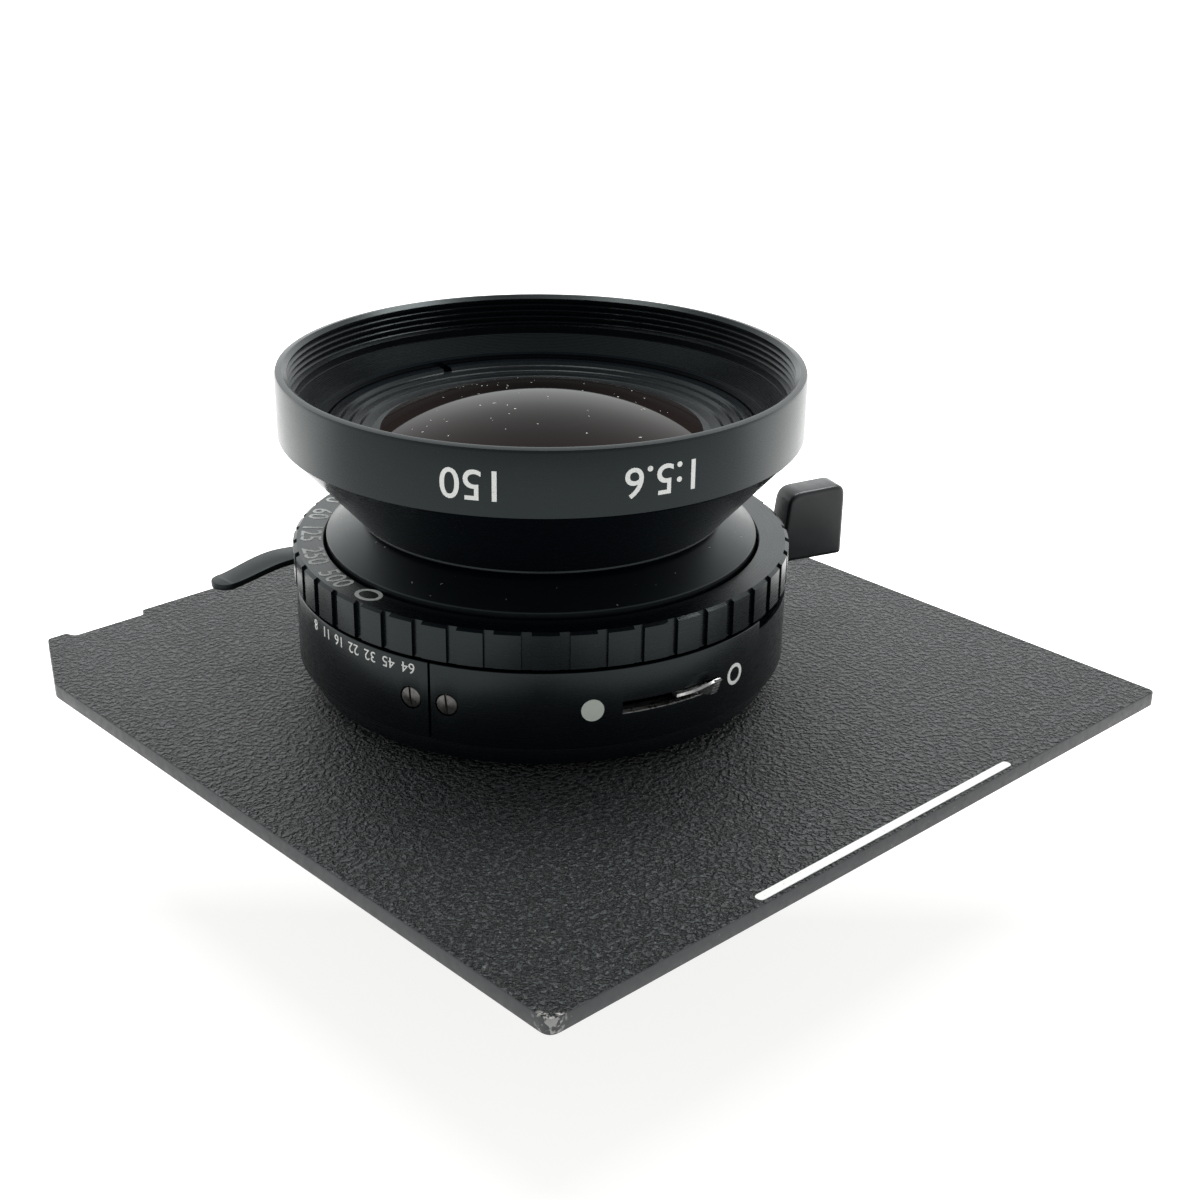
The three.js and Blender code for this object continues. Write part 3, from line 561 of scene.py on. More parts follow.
def radial(mesh, angle, z):
    """Lays a mesh that was turned round z so that its axis points outwards at an angle."""
    lay = Matrix.Rotation(math.radians(90), 4, "Y")
    mesh.transform(Matrix.Translation((0, 0, z)) @ Matrix.Rotation(math.radians(angle), 4, "Z") @ lay)
    return mesh


def rod(size, low, high, segments):
    """A round bar along z, for cutting."""
    return lathe([(0, low), (size, low), (size, high), (0, high)], segments)


def pin(size, inner, outer, angle, z):
    """A round bar that points outwards, for cutting."""
    return radial(rod(size, inner, outer, 48), angle, z)


def evaluated(obj):
    """The mesh of an object with its modifiers or its letters worked out. The object is removed."""
    bpy.context.view_layer.update()
    mesh = bpy.data.meshes.new_from_object(obj.evaluated_get(bpy.context.evaluated_depsgraph_get()))
    bpy.data.objects.remove(obj)
    return mesh


def carved(mesh, cutters):
    """The mesh with the cutters taken away."""
    target = link("target", mesh)
    tools = [link("tool", cutter) for cutter in cutters]
    for tool in tools:
        cut = target.modifiers.new("cut", "BOOLEAN")
        cut.operation = "DIFFERENCE"
        cut.solver = "EXACT"
        cut.object = tool
    result = evaluated(target)
    for tool in tools:
        bpy.data.objects.remove(tool)
    return result


def joined(meshes):
    """Several loose closed meshes as one mesh."""
    work = bmesh.new()
    for mesh in meshes:
        work.from_mesh(mesh)
    mesh = bpy.data.meshes.new("piece")
    work.to_mesh(mesh)
    work.free()
    return mesh


def piece(name, mesh, body, finish, replaces=(), sharp=28):
    """Adds a mesh as a piece that rides on a body."""
    mesh.transform(TO_FRAME)
    mesh.materials.clear()
    mesh.materials.append(MATERIALS[finish])
    mesh.polygons.foreach_set("use_smooth", [True] * len(mesh.polygons))
    mesh.set_sharp_from_angle(angle=math.radians(sharp))
    made = link(name, mesh)
    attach(made, body)
    if replaces:
        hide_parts(*replaces)
    return made


# ------------ lens board

CLIP_ALONG, CLIP_DOWN = 5.4, 11.8
NOTCH_FROM, NOTCH_TO, NOTCH_DEPTH, NOTCH_SLOPE = 7.9, 18.6, 1.3, 0.6
FRONT_CORNER, SIDE_CORNER = 1.4, 0.9
SHEET = 1.8
EDGE_BEVEL = 0.16
HOLE_R = 17.3
TRAP_OUTER, TRAP_INNER, TRAP_STRAIGHT = 40.0, 37.6, 34.5
FACE_UP = 0.8


def board_outline(low, high):
    """The board from above, from its clipped corner round, with the notch in the upper edge."""
    corners_and_radii = [
        (low.x + CLIP_ALONG, high.y, 0.5),
        (low.x, high.y - CLIP_DOWN, 0.6),
        (low.x, low.y, FRONT_CORNER),
        (high.x, low.y, SIDE_CORNER),
        (high.x, high.y, SIDE_CORNER),
        (low.x + NOTCH_TO, high.y, 0.3),
        (low.x + NOTCH_TO - NOTCH_SLOPE, high.y - NOTCH_DEPTH, 0.4),
        (low.x + NOTCH_FROM + NOTCH_SLOPE, high.y - NOTCH_DEPTH, 0.4),
        (low.x + NOTCH_FROM, high.y, 0.3),
    ]
    return softened(corners_and_radii, steps=6)


def make_board():
    """The painted sheet, with its sawn edges in a material of their own."""
    outline = board_outline(board_low - AXIS, board_high - AXIS)
    hole = rod(HOLE_R, -5, 5, 96)
    sheet = carved(plate(outline, -SHEET, 0, EDGE_BEVEL, 3), [hole])
    made = piece("board_sheet", sheet, ROOT, "wrinkle_paint", replaces=["lens_board"])
    made.data.materials.append(MATERIALS["board_edge"])
    for face in made.data.polygons:
        if abs(face.normal.z) < FACE_UP:
            face.material_index = 1


def make_light_trap():
    """The square rib with round corners on the back of the board."""
    middle = (board_low + board_high) / 2 - AXIS
    outer, inner = (
        softened(
            [(middle.x + half * x, middle.y + half * y) for x, y in ((-1, -1), (1, -1), (1, 1), (-1, 1))],
            half - TRAP_STRAIGHT,
            8,
        )
        for half in (TRAP_OUTER, TRAP_INNER)
    )
    low = bottom("lens_board")
    rib = carved(plate(outer, low, -SHEET + 0.1, 0.3), [plate(inner, low - 1, 1)])
    piece("light_trap", rib, ROOT, "black_lacquer", replaces=["lens_board"])


def make_stripe():
    """White paint in a shallow groove with round ends."""
    low, high = (c - AXIS for c in corners("index_stripe"))
    r = (high.y - low.y) / 2
    ends = [(low.x, low.y, r), (high.x, low.y, r), (high.x, high.y, r), (low.x, high.y, r)]
    stripe = plate(softened(ends, steps=6), -0.2, 0.05, 0.03)
    piece("stripe", stripe, ROOT, "white_paint", replaces=["index_stripe"])


# ------------ shutter case

SEAM_ANGLE, SEAM_WIDTH = -156.0, 0.3
BAND_WALL = 0.75
SLOT_FROM, SLOT_TO, SLOT_Z, SLOT_HEIGHT = -114.0, -89.6, 7.6, 1.5
COCKING_CUT = (-74.0, -9)
COCKING_CUT_Z = 11.3
RELEASE_CUT = (104, 154)
RELEASE_CUT_Z = 10.6
SCREW_Z = 7.7
SCREW_HEAD = 1.2
SCREW_GAP = 0.12
SCREW_SLOT_WIDTH, SCREW_SLOT_DEPTH, SCREW_TILT = 0.26, 0.34, 8
SCREWS = {"band_screw_left": -160.6, "band_screw_right": -152.0}
CABLE_ANGLE, SYNC_ANGLE, SOCKET_Z = 96, 70, 7.5
CABLE_HOLE, SYNC_HOLE = 2.35, 2.55


def make_band():
    """The split band round the case, with its slot, cut-outs, seam and holes."""
    inner = BAND_R - BAND_WALL
    rim = 0.14
    outer_rims = [(BAND_R, BAND_LOW, rim), (BAND_R, BAND_TOP, rim)]
    profile = softened([(inner, BAND_LOW), *outer_rims, (inner, BAND_TOP)])
    near, far = inner - 1, BAND_R + 1
    half = SLOT_HEIGHT / 2
    cutters = [
        sector(near, far, SLOT_FROM, SLOT_TO, SLOT_Z - half, SLOT_Z + half),
        sector(near, far, *COCKING_CUT, COCKING_CUT_Z, BAND_TOP + 3),
        sector(near, far, *RELEASE_CUT, RELEASE_CUT_Z, BAND_TOP + 3),
        block(near, far, SEAM_WIDTH, BAND_LOW - 1, BAND_TOP + 1, SEAM_ANGLE),
        pin(CABLE_HOLE, near, far, CABLE_ANGLE, SOCKET_Z),
        pin(SYNC_HOLE, near, far, SYNC_ANGLE, SOCKET_Z),
    ]
    for angle in SCREWS.values():
        cutters.append(pin(SCREW_HEAD + SCREW_GAP, near, far, angle, SCREW_Z))
    band = carved(lathe(profile, 360), cutters)
    piece("band", band, ROOT, "black_anodised", replaces=["outer_band"])


def make_screws():
    """Slotted heads let into the band."""
    out = BAND_R + 0.06
    for name, angle in SCREWS.items():
        head = softened(
            [
                (0, out - 2.5),
                (0.5, out - 2.5),
                (0.5, out - 0.8),
                (SCREW_HEAD, out - 0.5),
                (SCREW_HEAD, out - 0.12, 0.14),
                (0, out),
            ],
            0.02,
        )
        screw = radial(lathe(head, 48), angle, SCREW_Z)
        slot = block(out - SCREW_SLOT_DEPTH, out + 1, SCREW_SLOT_WIDTH, SCREW_Z - 2, SCREW_Z + 2, angle)
        tilt = Matrix.Rotation(math.radians(SCREW_TILT), 4, direction(angle + 90, 0))
        middle = Matrix.Translation((0, 0, SCREW_Z))
        slot.transform(middle @ tilt @ middle.inverted())
        piece(name + "_head", carved(screw, [slot]), ROOT, "dark_steel", replaces=[name])


WRAP_STEP = 0.6


def crease(work, place):
    """Cuts the faces of a mesh along a plane across x, so that it can be bent there."""
    whole = work.verts[:] + work.edges[:] + work.faces[:]
    bmesh.ops.bisect_plane(work, geom=whole, plane_co=place, plane_no=(1, 0, 0))


def wrap(mesh, r, angle, z):
    """Bends a flat mesh round the case, to be read with the front of the lens down."""
    work = bmesh.new()
    work.from_mesh(mesh)
    width = max((abs(v.co.x) for v in work.verts), default=0)
    for k in range(-int(width / WRAP_STEP), int(width / WRAP_STEP) + 1):
        crease(work, (k * WRAP_STEP, 0, 0))
    for v in work.verts:
        a = math.radians(angle) - v.co.x / r
        away = r + v.co.z
        v.co = Vector((away * math.cos(a), away * math.sin(a), z - v.co.y))
    return finished(work)


def lay_on_ring(mesh, r, angle, z):
    """Bends a flat mesh on to a flat ring, with its top towards the axis."""
    work = bmesh.new()
    work.from_mesh(mesh)
    for v in work.verts:
        a = math.radians(angle) + v.co.x / r
        away = r - v.co.y
        v.co = Vector((away * math.cos(a), away * math.sin(a), z + v.co.z))
    return finished(work)


def digits(text, height, thickness=0.08, weight=0.0):
    """Flat figures, centred on the origin, as a closed mesh."""
    data = bpy.data.curves.new("digits", "FONT")
    data.body = text
    data.size = height / 0.73
    data.align_x = "CENTER"
    data.align_y = "CENTER"
    data.extrude = thickness / 2
    data.offset = weight
    data.resolution_u = 5
    work = bmesh.new()
    work.from_mesh(evaluated(link("digits", data)))
    return finished(work)


def oval(width, height, hole=0.0, thickness=0.08):
    """A flat oval disc, or an oval ring if it has a hole of that stroke."""
    count = 48
    turns = [2 * math.pi * i / count for i in range(count)]
    work = bmesh.new()
    rims = []
    inner = (width / 2 - hole, height / 2 - hole) if hole else (0, 0)
    for half_w, half_h in ((width / 2, height / 2), inner):
        for z in (-thickness / 2, thickness / 2):
            rims.append([work.verts.new((half_w * math.cos(a), half_h * math.sin(a), z)) for a in turns])
    low_out, high_out, low_in, high_in = rims
    for i in range(count):
        k = (i + 1) % count
        for a, b in ((low_out, high_out), (high_out, high_in), (high_in, low_in), (low_in, low_out)):
            work.faces.new((a[i], a[k], b[k], b[i]))
    return finished(work)


DOT_ANGLE, DOT_Z = -120.6, 7.75
CIRCLE_ANGLE, CIRCLE_Z = -83.8, 7.7
MARK_WIDTH, MARK_HEIGHT = 2.5, 2.55
MARK_STROKE = 0.42
SCALE_Z = 11.25
SCALE_HEIGHT = 1.3
SCALE_FROM, SCALE_STEP = -161.0, 5.2
APERTURES = ("64", "45", "32", "22", "16", "11", "8")


def make_case_marks():
    """A painted dot and circle at the ends of the slot, and an aperture scale."""
    dot = wrap(oval(MARK_WIDTH, MARK_HEIGHT), BAND_R, DOT_ANGLE, DOT_Z)
    piece("closed_mark", dot, ROOT, "dot_paint")
    circle = wrap(oval(MARK_WIDTH, MARK_HEIGHT, MARK_STROKE), BAND_R, CIRCLE_ANGLE, CIRCLE_Z)
    piece("open_mark", circle, ROOT, "white_paint")
    figures = []
    for k, text in enumerate(APERTURES):
        figures.append(wrap(digits(text, SCALE_HEIGHT), BAND_R, SCALE_FROM - SCALE_STEP * k, SCALE_Z))
    piece("case_scale", joined(figures), ROOT, "white_paint")


TAB_FROM, TAB_TO = -101.3, -91.0
TAB_Z, TAB_RISE = 7.75, 0.12
TAB_THICK = 0.16
TAB_STATIONS = 40
TAB_FLAT, TAB_TWIST = 8, 62
TAB_NARROW, TAB_WIDEN = 0.55, 0.45
TAB_SUNK, TAB_OUT = 0.35, 1.15
RIB_SHARE, RIB_WAVE = 0.2, 0.03
RIBS, RIB_STEP = 5, 0.42
STEM_INNER = 26.3


def make_slot_highlight_strip():
    """A bright steel strip on the lower edge of the slot: a painted highlight standing in for light on the
    cut edge.
    """
    inner, outer = BAND_R - BAND_WALL, BAND_R - 0.06
    # painted highlight: a thin bright steel film along the slot's lower edge
    painted_highlight = sector(inner, outer, SLOT_FROM, SLOT_TO, SLOT_Z - 0.74, SLOT_Z - 0.62)
    piece("slot_highlight_strip", painted_highlight, ROOT, "steel")


def tab_strip():
    """The strip itself: it leaves the slot lying flat, and twists and widens up to its end."""
    work = bmesh.new()
    rows = []
    for i in range(TAB_STATIONS + 1):
        t = i / TAB_STATIONS
        angle = math.radians(TAB_FROM + (TAB_TO - TAB_FROM) * t)
        ease = t * t * (3 - 2 * t)
        twist = math.radians(TAB_FLAT + TAB_TWIST * ease)
        width = TAB_NARROW + TAB_WIDEN * ease
        thick = TAB_THICK
        if t > 1 - RIB_SHARE:
            thick += RIB_WAVE * math.sin((t - 1 + RIB_SHARE) / RIB_SHARE * math.pi * 1.5)
        row = []
        for u, v in ((-width, -thick), (width, -thick), (width, thick), (-width, thick)):
            r = BAND_R - TAB_SUNK + TAB_OUT * ease + (u * math.cos(twist) - v * math.sin(twist))
            z = TAB_Z + TAB_RISE * ease + u * math.sin(twist) + v * math.cos(twist)
            row.append(work.verts.new((r * math.cos(angle), r * math.sin(angle), z)))
        rows.append(row)
    for here, there in zip(rows, rows[1:]):
        for k in range(4):
            m = (k + 1) % 4
            work.faces.new((here[k], here[m], there[m], there[k]))
    work.faces.new(rows[0])
    work.faces.new(rows[-1])
    return finished(work)


def make_tab():
    """The press-focus lever: a twisted steel strip with ribs at its end and a stem into the case."""
    bars = []
    for k in range(RIBS):
        low = TAB_Z - 0.82 + RIB_STEP * k
        r = BAND_R + 0.42 + 0.17 * k
        bars.append(sector(r - 0.16, r + 0.2, TAB_TO - 1.7, TAB_TO + 0.12, low, low + 0.2, 0.6))
    stem = sector(STEM_INNER, BAND_R - 0.5, TAB_FROM + 3, TAB_TO - 1, SLOT_Z - 0.25, SLOT_Z + 0.25)
    tab = joined([tab_strip(), stem, *bars])
    piece("press_focus_grip", tab, "press_focus", "steel", replaces=["press_focus_tab"], sharp=40)


# ------------ speed ring and cover

KNURLS = 45
KNURL_PHASE = 1.4
KNURL_DEPTH = 0.45
KNURL_GROOVE = 1.1


def make_speed_ring():
    """The knurled ring: flat lands with narrow grooves between them and a bevel on the upper rim."""
    inner = COVER_R + 0.3
    rim = 0.42
    profile = [
        (inner, RING_LOW),
        (RING_R - 0.25, RING_LOW),
        (RING_R, RING_LOW + 0.2),
        (RING_R, RING_TOP - 0.24),
        (RING_R - rim, RING_TOP),
        (inner + 0.12, RING_TOP),
        (inner, RING_TOP - 0.12),
    ]
    pitch = 360 / KNURLS
    groove = math.degrees(KNURL_GROOVE / RING_R)
    land = pitch - groove
    wall = 0.04
    angles, low = [], []
    for k in range(KNURLS):
        edge = KNURL_PHASE + k * pitch + groove / 2
        for share in (0, 0.25, 0.5, 0.75, 1):
            angles.append(edge + wall + (land - 2 * wall) * share)
            low.append(False)
        for share in (0, 0.5, 1):
            angles.append(edge + land + groove * share)
            low.append(True)
    floor = RING_R - KNURL_DEPTH

    def knurled(r, z, station):
        return min(r, floor) if low[station] else r

    ring = lathe(profile, angles=angles, shape=knurled)
    piece("speed_ring_fine", ring, "speed_control", "black_anodised", replaces=["speed_ring"], sharp=20)


NUMBER_R = 27.0
NUMBER_HEIGHT = 2.5
FIGURE_WEIGHT = 0.02
LONG_SPEEDS = {"500": 171, "250": 156, "125": 141, "60": 128, "30": 116, "15": 105}
SHORT_SPEEDS = {"8": 95, "4": 85, "2": 75, "1": 65}
INDEX_ANGLE, INDEX_R = -176.1, 26.6
INDEX_WIDTH, INDEX_HEIGHT, INDEX_STROKE = 3.4, 2.75, 0.46
RING_PAINT = 0.06


def make_speed_marks():
    """Shutter speeds round the flat top of the ring, and an open index circle after them."""
    figures = []
    for text, angle in (LONG_SPEEDS | SHORT_SPEEDS).items():
        number = digits(text, NUMBER_HEIGHT, RING_PAINT, FIGURE_WEIGHT)
        figures.append(lay_on_ring(number, NUMBER_R, angle, RING_TOP))
    index = oval(INDEX_WIDTH, INDEX_HEIGHT, INDEX_STROKE, RING_PAINT)
    figures.append(lay_on_ring(index, INDEX_R, INDEX_ANGLE, RING_TOP))
    piece("speed_figures", joined(figures), "speed_control", "grey_paint")


COVER_EDGE_Z, COVER_UPPER_R = 17.6, 20.6
COVER_WALL = 1.0
COVER_LEDGE = 0.9


def make_cover():
    """The satin cone round the front cell."""
    low = bottom("front_cover")
    profile = softened(
        [
            (COVER_R - COVER_WALL, low),
            (COVER_R, low, 0.1),
            (COVER_R, COVER_EDGE_Z, 0.12),
            (COVER_UPPER_R, COVER_TOP, 0.18),
            (COVER_UPPER_R - COVER_LEDGE, COVER_TOP, 0.1),
            (COVER_UPPER_R - COVER_LEDGE, COVER_TOP - 1.1),
            (COVER_R - COVER_WALL, COVER_EDGE_Z - 1.2),
        ],
        steps=4,
    )
    piece("cover", lathe(profile, 256), ROOT, "black_satin", replaces=["front_cover"])


# ------------ front cell

NECK_R, NECK_LOW, NECK_BORE = 19.2, 14.95, 14.2
LIP_R, LIP_Z = 21.6, 20.85
FLARE_R, FLARE_Z = 29.75, 29.95
THREAD_CREST, THREAD_ROOT, THREAD_PITCH, THREAD_TURNS = 28.62, 29.02, 0.75, 4
CONE_RIDGES = 13
CONE_TOP_R, CONE_TOP_Z = 28.0, 32.8
CONE_LOW_R, CONE_LOW_Z = 25.75, 31.0
POCKET_R = 24.7
POCKET_Z = 28.6
FRONT_GLASS_R = radius("front_outer_element")
FRONT_GLASS_TOP = top("front_outer_element")
FRONT_CURVE = 50
SPANNER_ANGLES = (79, 259)
SPANNER_WIDTH = 1.1


def hood_inside():
    """The inside of the hood from its rim down: filter thread, step, ridged cone and ledge."""
    points = [(HOOD_R - 0.62, HOOD_TOP), (THREAD_ROOT + 0.12, HOOD_TOP), (THREAD_CREST, HOOD_TOP - 0.42)]
    z = HOOD_TOP - 0.55
    for _ in range(THREAD_TURNS):
        points += [(THREAD_CREST, z), (THREAD_ROOT, z - THREAD_PITCH * 0.42)]
        points += [(THREAD_ROOT, z - THREAD_PITCH * 0.5), (THREAD_CREST, z - THREAD_PITCH * 0.92)]
        z -= THREAD_PITCH
    step = CONE_TOP_R + 0.1
    points += [(THREAD_CREST, z), (step, z - 0.25), (step, CONE_TOP_Z + 0.05)]
    for k in range(CONE_RIDGES):
        share = k / CONE_RIDGES
        r = CONE_TOP_R + (CONE_LOW_R - CONE_TOP_R) * share
        level = CONE_TOP_Z + (CONE_LOW_Z - CONE_TOP_Z) * share
        points += [(r, level), (r - 0.14, level - 0.015)]
    points += [(CONE_LOW_R, CONE_LOW_Z), (POCKET_R, CONE_LOW_Z), (POCKET_R, POCKET_Z)]
    return points


def make_hood():
    """The front barrel: a short neck, a cone that flares out and the filter hood."""
    bore = FRONT_GLASS_R + 0.3
    outside = [
        (NECK_BORE, NECK_LOW + 0.15),
        (NECK_BORE + 0.4, NECK_LOW),
        (NECK_R, NECK_LOW),
        (NECK_R, LIP_Z - 0.7),
        (LIP_R - 0.25, LIP_Z - 0.45),
        (LIP_R, LIP_Z - 0.2),
        (LIP_R, LIP_Z),
        (FLARE_R - 0.35, FLARE_Z - 0.3),
        (FLARE_R, FLARE_Z - 0.05),
        (HOOD_R, FLARE_Z + 0.25),
        (HOOD_R, HOOD_TOP - 0.45),
        (HOOD_R - 0.12, HOOD_TOP - 0.12),
    ]
    seat = [(bore, POCKET_Z), (bore, 21.0), (NECK_BORE, 20.4)]
    hood = lathe(outside + hood_inside() + seat, 320)
    piece("hood", hood, ROOT, "black_anodised", replaces=["front_barrel"], sharp=22)


def make_front_ring():
    """The stepped ring that holds the front glass, with two slots for a spanner."""
    outer = POCKET_R - 0.12
    profile = softened(
        [
            (FRONT_GLASS_R + 0.1, 28.9),
            (outer, 28.9),
            (outer, 30.45),
            (23.2, 30.45),
            (23.0, 30.05),
            (22.2, 30.05),
            (22.0, 29.7),
            (21.0, 29.65),
            (20.8, 29.35),
            (19.6, 29.2),
        ],
        0.06,
        2,
    )
    slots = [block(23.0, 26, SPANNER_WIDTH, 29.7, 31, angle) for angle in SPANNER_ANGLES]
    ring = carved(lathe(profile, 256), slots)
    piece("front_lock_ring", ring, ROOT, "black_anodised", replaces=["front_retaining_ring"], sharp=20)


def lens_outline(size, front, rear, steps=24):
    """Half of a lens section. front and rear give height on the axis and curve, over 0 if it bulges up."""
    outline = []
    for (level, curve), order in ((front, range(steps + 1)), (rear, range(steps, -1, -1))):
        big, sign = abs(curve), math.copysign(1, curve)
        for i in order:
            r = size * i / steps
            outline.append((r, level - sign * (big - math.sqrt(big * big - r * r))))
    return outline


ELEMENTS = {
    "front_outer_element": (FRONT_CURVE, 70),
    "front_cemented_element": (70, 60),
    "front_inner_element": (40, 60),
    "rear_inner_element": (-60, -40),
    "rear_cemented_element": (-70, -90),
    "rear_outer_element": (-90, -45),
}


def make_glass():
    """Every lens element, ground and polished, with the curves of its front and rear faces."""
    for node, (front_curve, rear_curve) in ELEMENTS.items():
        size = radius(node)
        high, low = top(node), bottom(node)
        sag = {c: abs(c) - math.sqrt(c * c - size * size) for c in (front_curve, rear_curve)}
        front = (high if front_curve > 0 else high - sag[front_curve], front_curve)
        rear = (low if rear_curve < 0 else low + sag[rear_curve], rear_curve)
        mesh = lathe(lens_outline(size, front, rear), 128)
        piece(node + "_polished", mesh, ROOT, "coated_glass", replaces=[node], sharp=35)


# ------------ levers

COCKING_ANGLE = -17.8
CAP_INNER, CAP_OUTER, CAP_LOW, CAP_HIGH, CAP_WIDTH = 31.8, 40.7, 8.0, 17.35, 3.9
ARM_POCKET_OUTER, ARM_POCKET_WIDTH, ARM_POCKET_LOW, ARM_POCKET_HIGH = 36.9, 3.5, 11.35, 12.55
BLADE_INNER, BLADE_OUTER, BLADE_WIDTH, BLADE_GAP = 35.1, 38.7, 1.8, 0.4


def make_cap():
    """The moulded grip on the cocking lever, as seen from the side, with soft rims."""
    outline = softened(
        [
            (CAP_INNER, CAP_LOW, 0.5),
            (CAP_OUTER, CAP_LOW, 0.6),
            (CAP_OUTER, CAP_HIGH, 1.5),
            (CAP_INNER + 1.1, CAP_HIGH - 0.25, 1.7),
        ],
        steps=8,
    )
    cap = plate(outline, -CAP_WIDTH / 2, CAP_WIDTH / 2, 0.55, 5)
    stand = Matrix.Rotation(math.radians(90), 4, "X")
    cap.transform(Matrix.Rotation(math.radians(COCKING_ANGLE), 4, "Z") @ stand)
    low, high = (c.z - AXIS.z for c in corners("cocking_lever"))
    arm = (ARM_POCKET_WIDTH, ARM_POCKET_LOW, ARM_POCKET_HIGH)
    pocket = block(CAP_INNER - 2, ARM_POCKET_OUTER, *arm, COCKING_ANGLE)
    blade = (BLADE_WIDTH, low - BLADE_GAP, high + BLADE_GAP)
    socket = block(BLADE_INNER, BLADE_OUTER, *blade, COCKING_ANGLE)
    cap = carved(cap, [pocket, socket])
    piece("cocking_grip", cap, "cocking", "black_plastic", replaces=["cocking_lever_cap"], sharp=40)


def bezier(a, control, b, steps):
    """Points on a curve from a towards b, without the last."""
    for i in range(steps):
        t = i / steps
        yield tuple(Vector(a) * (1 - t) ** 2 + Vector(control) * 2 * t * (1 - t) + Vector(b) * t * t)


HUB_R, HUB_ANGLE, HUB_SIZE, HUB_BORE = 24.4, 122, 1.9, 1.0
LEVER_Z = 11.4
LEVER_THICKNESS = 0.75
TIP = (-28.3, 24.2)
TIP_SIZE = 1.75
BEND_FROM, BEND_TO, BEND_DROP = -20.0, -29.0, 1.3
BEND_CUTS, BEND_STEP, BEND_FIRST = 28, 0.5, -16


def around(middle, size, start, end, steps):
    """Points on an arc round a middle, with both ends."""
    for i in range(steps + 1):
        turn = math.radians(start + (end - start) * i / steps)
        yield middle[0] + size * math.cos(turn), middle[1] + size * math.sin(turn)


def make_release_lever():
    """A flat strip lever that leaves the case level and then slopes down to a round tip."""
    a = math.radians(HUB_ANGLE)
    hub = Vector((HUB_R * math.cos(a), HUB_R * math.sin(a)))
    outline = list(around(hub, HUB_SIZE, -60, 100, 12))
    outline += bezier(outline[-1], (-19.6, 26.6), (TIP[0] + 0.6, TIP[1] + 1.72), 14)
    outline += list(around(TIP, TIP_SIZE, 80, 265, 16))
    outline += bezier(outline[-1], (-21.0, 22.2), (-17.5, 20.4), 14)
    work = bmesh.new()
    work.from_mesh(plate(outline, LEVER_Z, LEVER_Z + LEVER_THICKNESS, 0.12))
    for k in range(BEND_CUTS):
        crease(work, (BEND_FIRST - BEND_STEP * k, 0, 0))
    for v in work.verts:
        t = min(1.0, max(0.0, (v.co.x - BEND_FROM) / (BEND_TO - BEND_FROM)))
        v.co.z -= BEND_DROP * t * t * (3 - 2 * t)
    bore = rod(HUB_BORE, 5, 15, 32)
    bore.transform(Matrix.Translation((hub.x, hub.y, 0)))
    lever = carved(finished(work), [bore])
    piece("release_strip", lever, "release", "black_lacquer", replaces=["release_lever"])


# ------------ sockets, aperture ring and rear


def make_sockets():
    """The threaded sockets for a cable release and a flash cord, as (radius, distance from the axis)."""
    foot = 26.9
    cable = [(0.9, foot), (2.05, foot), (2.05, 29.2), (2.6, 29.5, 0.1), (2.6, 33.2, 0.25), (1.5, 33.2, 0.2)]
    sync = [(1.8, foot), (2.25, foot), (2.25, 29.1), (2.9, 29.4, 0.1), (2.9, 31.8, 0.2), (1.8, 31.8, 0.15)]
    for node, outline, angle in (
        ("cable_release_socket", cable, CABLE_ANGLE),
        ("sync_socket", sync, SYNC_ANGLE),
    ):
        mesh = radial(lathe(softened(outline), 64), angle, SOCKET_Z)
        piece(node + "_turned", mesh, ROOT, "steel", replaces=[node])


APERTURE_BORE = 25.4


def make_aperture_ring():
    """The plain ring under the band that the aperture lever turns."""
    size = radius("aperture_ring")
    low, high = bottom("aperture_ring"), top("aperture_ring")
    profile = softened([(APERTURE_BORE, low), (size, low, 0.2), (size, high, 0.2), (APERTURE_BORE, high)])
    ring = lathe(profile, 192)
    piece("aperture_ring_fine", ring, "aperture", "black_anodised", replaces=["aperture_ring"])


REAR_BORE = radius("rear_outer_element") + 0.3
REAR_MOUTH_R = 19.0
REAR_RIM = 0.25
FLANGE_BORE = 16.55


def make_rear_barrel():
    """The rear cell's barrel: a stepped bore, a grooved outside and a rounded rim to stand on."""
    profile = softened(
        [
            (14.6, 0.2),
            (12.8, 0.2),
            (12.8, -5.6),
            (14.0, -5.6),
            (14.0, -10.2),
            (REAR_BORE, -10.2),
            (REAR_BORE, -17.2),
            (REAR_MOUTH_R, -17.2),
            (REAR_MOUTH_R, REAR_LOW + 0.8, 0.1),
            (REAR_MOUTH_R + 0.4, REAR_LOW, 0.1),
            (REAR_R, REAR_LOW, 0.5),
            (REAR_R, -12.6, REAR_RIM),
            (REAR_R - 0.35, -12.4),
            (REAR_R - 0.35, -11.6),
            (REAR_R, -11.4, REAR_RIM),
            (REAR_R, -7.4, REAR_RIM),
            (REAR_R - 1.4, -5.35, REAR_RIM),
            (14.6, -5.35),
        ]
    )
    barrel = lathe(profile, 256)
    piece("rear_barrel_fine", barrel, ROOT, "black_anodised", replaces=["rear_barrel"])


def make_rear_ring():
    """The ring that holds the rear glass, with two slots for a spanner."""
    low, high = bottom("rear_retaining_ring"), top("rear_retaining_ring")
    size = radius("rear_retaining_ring")
    inner = REAR_BORE - 0.1
    profile = softened(
        [
            (inner, high),
            (inner, low + 0.4, 0.1),
            (REAR_BORE + 0.6, low, 0.1),
            (size, low),
            (size, high),
        ]
    )
    slots = [block(17.4, 20, SPANNER_WIDTH, low - 1, low + 0.6, angle) for angle in SPANNER_ANGLES]
    ring = carved(lathe(profile, 192), slots)
    piece("rear_lock_ring", ring, ROOT, "black_anodised", replaces=["rear_retaining_ring"])


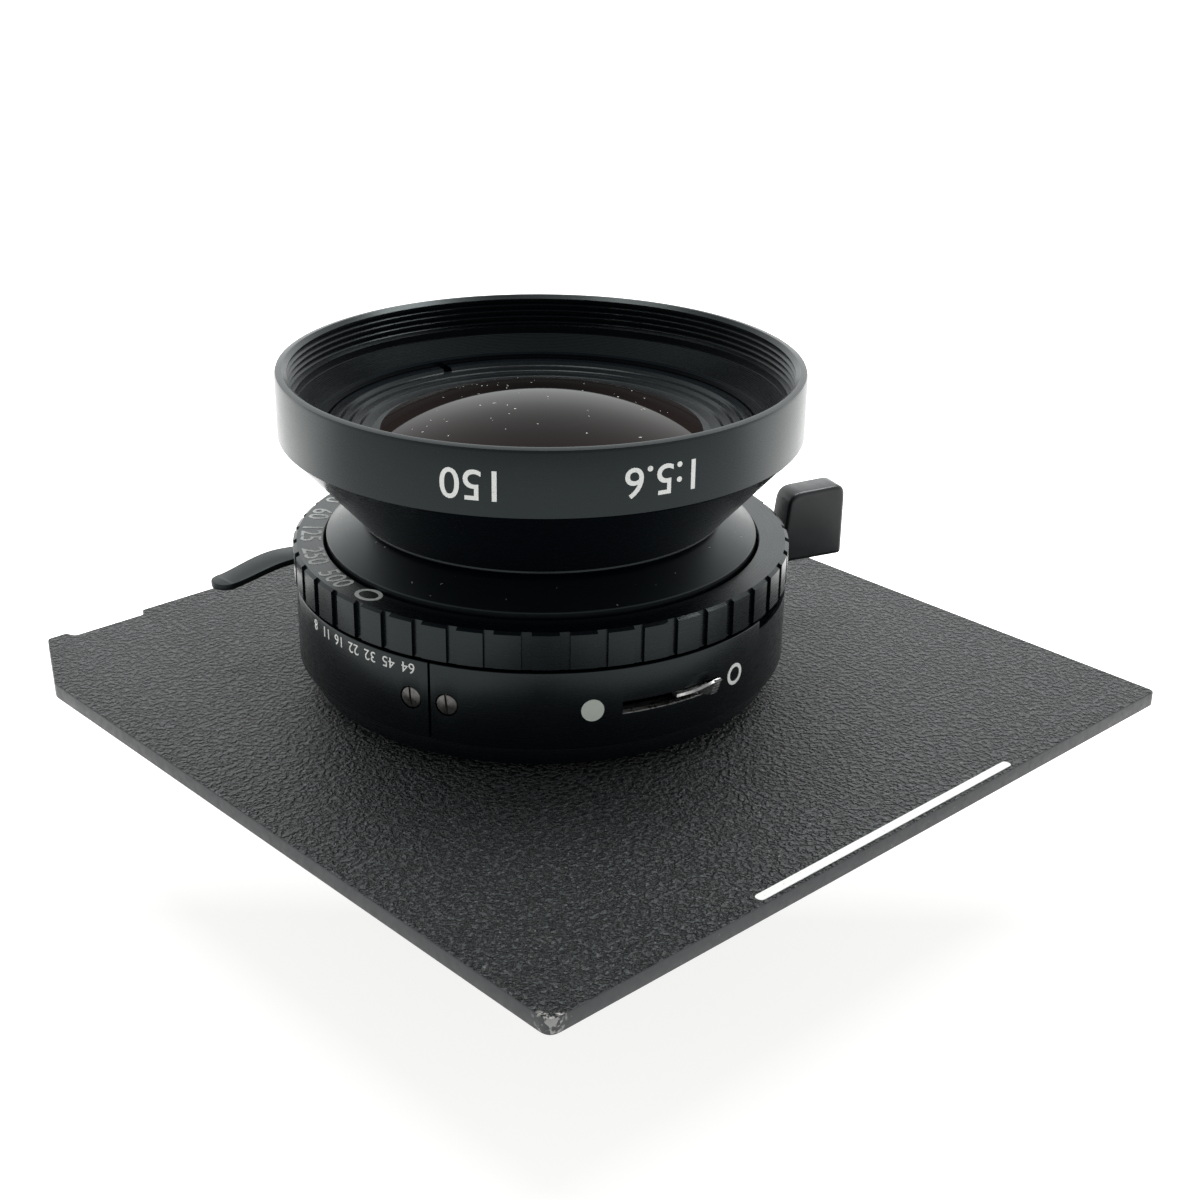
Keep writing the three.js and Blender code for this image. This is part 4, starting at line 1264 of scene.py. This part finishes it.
def make_flange_ring():
    """The clamp ring behind the board, with four notches."""
    low, high = bottom("flange_ring"), top("flange_ring")
    size = radius("flange_ring")
    profile = softened([(FLANGE_BORE, low), (size, low, 0.3), (size, high, 0.15), (FLANGE_BORE, high)])
    notches = [block(18.6, 22, 2.2, low - 1, low + 1.2, angle) for angle in range(0, 360, 90)]
    ring = carved(lathe(profile, 192), notches)
    piece("flange_ring_fine", ring, ROOT, "black_anodised", replaces=["flange_ring"])


# ------------ front figures and dust

FRONT_FIGURES = {"1:5.6": -107.0, "150": -145.0}
FRONT_FIGURE_Z, FRONT_FIGURE_HEIGHT = 33.7, 3.4
GLASS_SPECKS, COVER_SPECKS = 60, 26


def make_front_marks():
    """Aperture and focal length in plain figures on the hood."""
    figures = []
    for text, angle in FRONT_FIGURES.items():
        number = digits(text, FRONT_FIGURE_HEIGHT, weight=FIGURE_WEIGHT)
        figures.append(wrap(number, HOOD_R, angle, FRONT_FIGURE_Z))
    piece("hood_figures", joined(figures), ROOT, "white_paint")


def speck(where, out, size, stretch=1.0):
    """A small flattened lump of dust lying on a surface."""
    work = bmesh.new()
    bmesh.ops.create_icosphere(work, subdivisions=1, radius=size)
    lay = out.to_track_quat("Z", "Y").to_matrix().to_4x4()
    spin = Matrix.Rotation(random.uniform(0, math.pi), 4, "Z")
    squash = Matrix.Diagonal((stretch, random.uniform(0.5, 0.9), 0.35, 1))
    for v in work.verts:
        v.co *= random.uniform(0.75, 1.2)
    work.transform(Matrix.Translation(where) @ lay @ spin @ squash)
    return finished(work)


def make_glass_dust():
    """Specks scattered over the dome of the front glass."""
    specks = []
    for _ in range(GLASS_SPECKS):
        r = FRONT_GLASS_R * 0.85 * math.sqrt(random.random())
        a = random.uniform(0, 2 * math.pi)
        rise = math.sqrt(FRONT_CURVE ** 2 - r * r)
        out = Vector((r * math.cos(a), r * math.sin(a), rise)).normalized()
        where = Vector((r * math.cos(a), r * math.sin(a), FRONT_GLASS_TOP - (FRONT_CURVE - rise)))
        specks.append(speck(where, out, random.choice((0.06, 0.08, 0.1, 0.16)), random.uniform(0.8, 1.6)))
    piece("glass_dust", joined(specks), ROOT, "dust")


def make_cover_dust():
    """Small specks and short hairs on the cone of the cover."""
    slope = (COVER_EDGE_Z - COVER_TOP) / (COVER_R - COVER_UPPER_R)
    specks = []
    for _ in range(COVER_SPECKS):
        a = random.uniform(0, 2 * math.pi)
        r = random.uniform(21.2, 24.8)
        out = Vector((0.5 * math.cos(a), 0.5 * math.sin(a), 0.87))
        where = Vector((r * math.cos(a), r * math.sin(a), COVER_TOP + slope * (r - COVER_UPPER_R)))
        specks.append(speck(where, out, random.uniform(0.025, 0.05), random.uniform(1.0, 5.0)))
    piece("cover_dust", joined(specks), ROOT, "dust")


# ------------ everything

make_camera()
make_room()
finish_cad_nodes()
make_board()
make_light_trap()
make_stripe()
make_band()
make_screws()
make_case_marks()
make_slot_highlight_strip()
make_tab()
make_speed_ring()
make_speed_marks()
make_cover()
make_hood()
make_front_ring()
make_glass()
make_cap()
make_release_lever()
make_sockets()
make_aperture_ring()
make_rear_barrel()
make_rear_ring()
make_flange_ring()
make_front_marks()
make_glass_dust()
make_cover_dust()
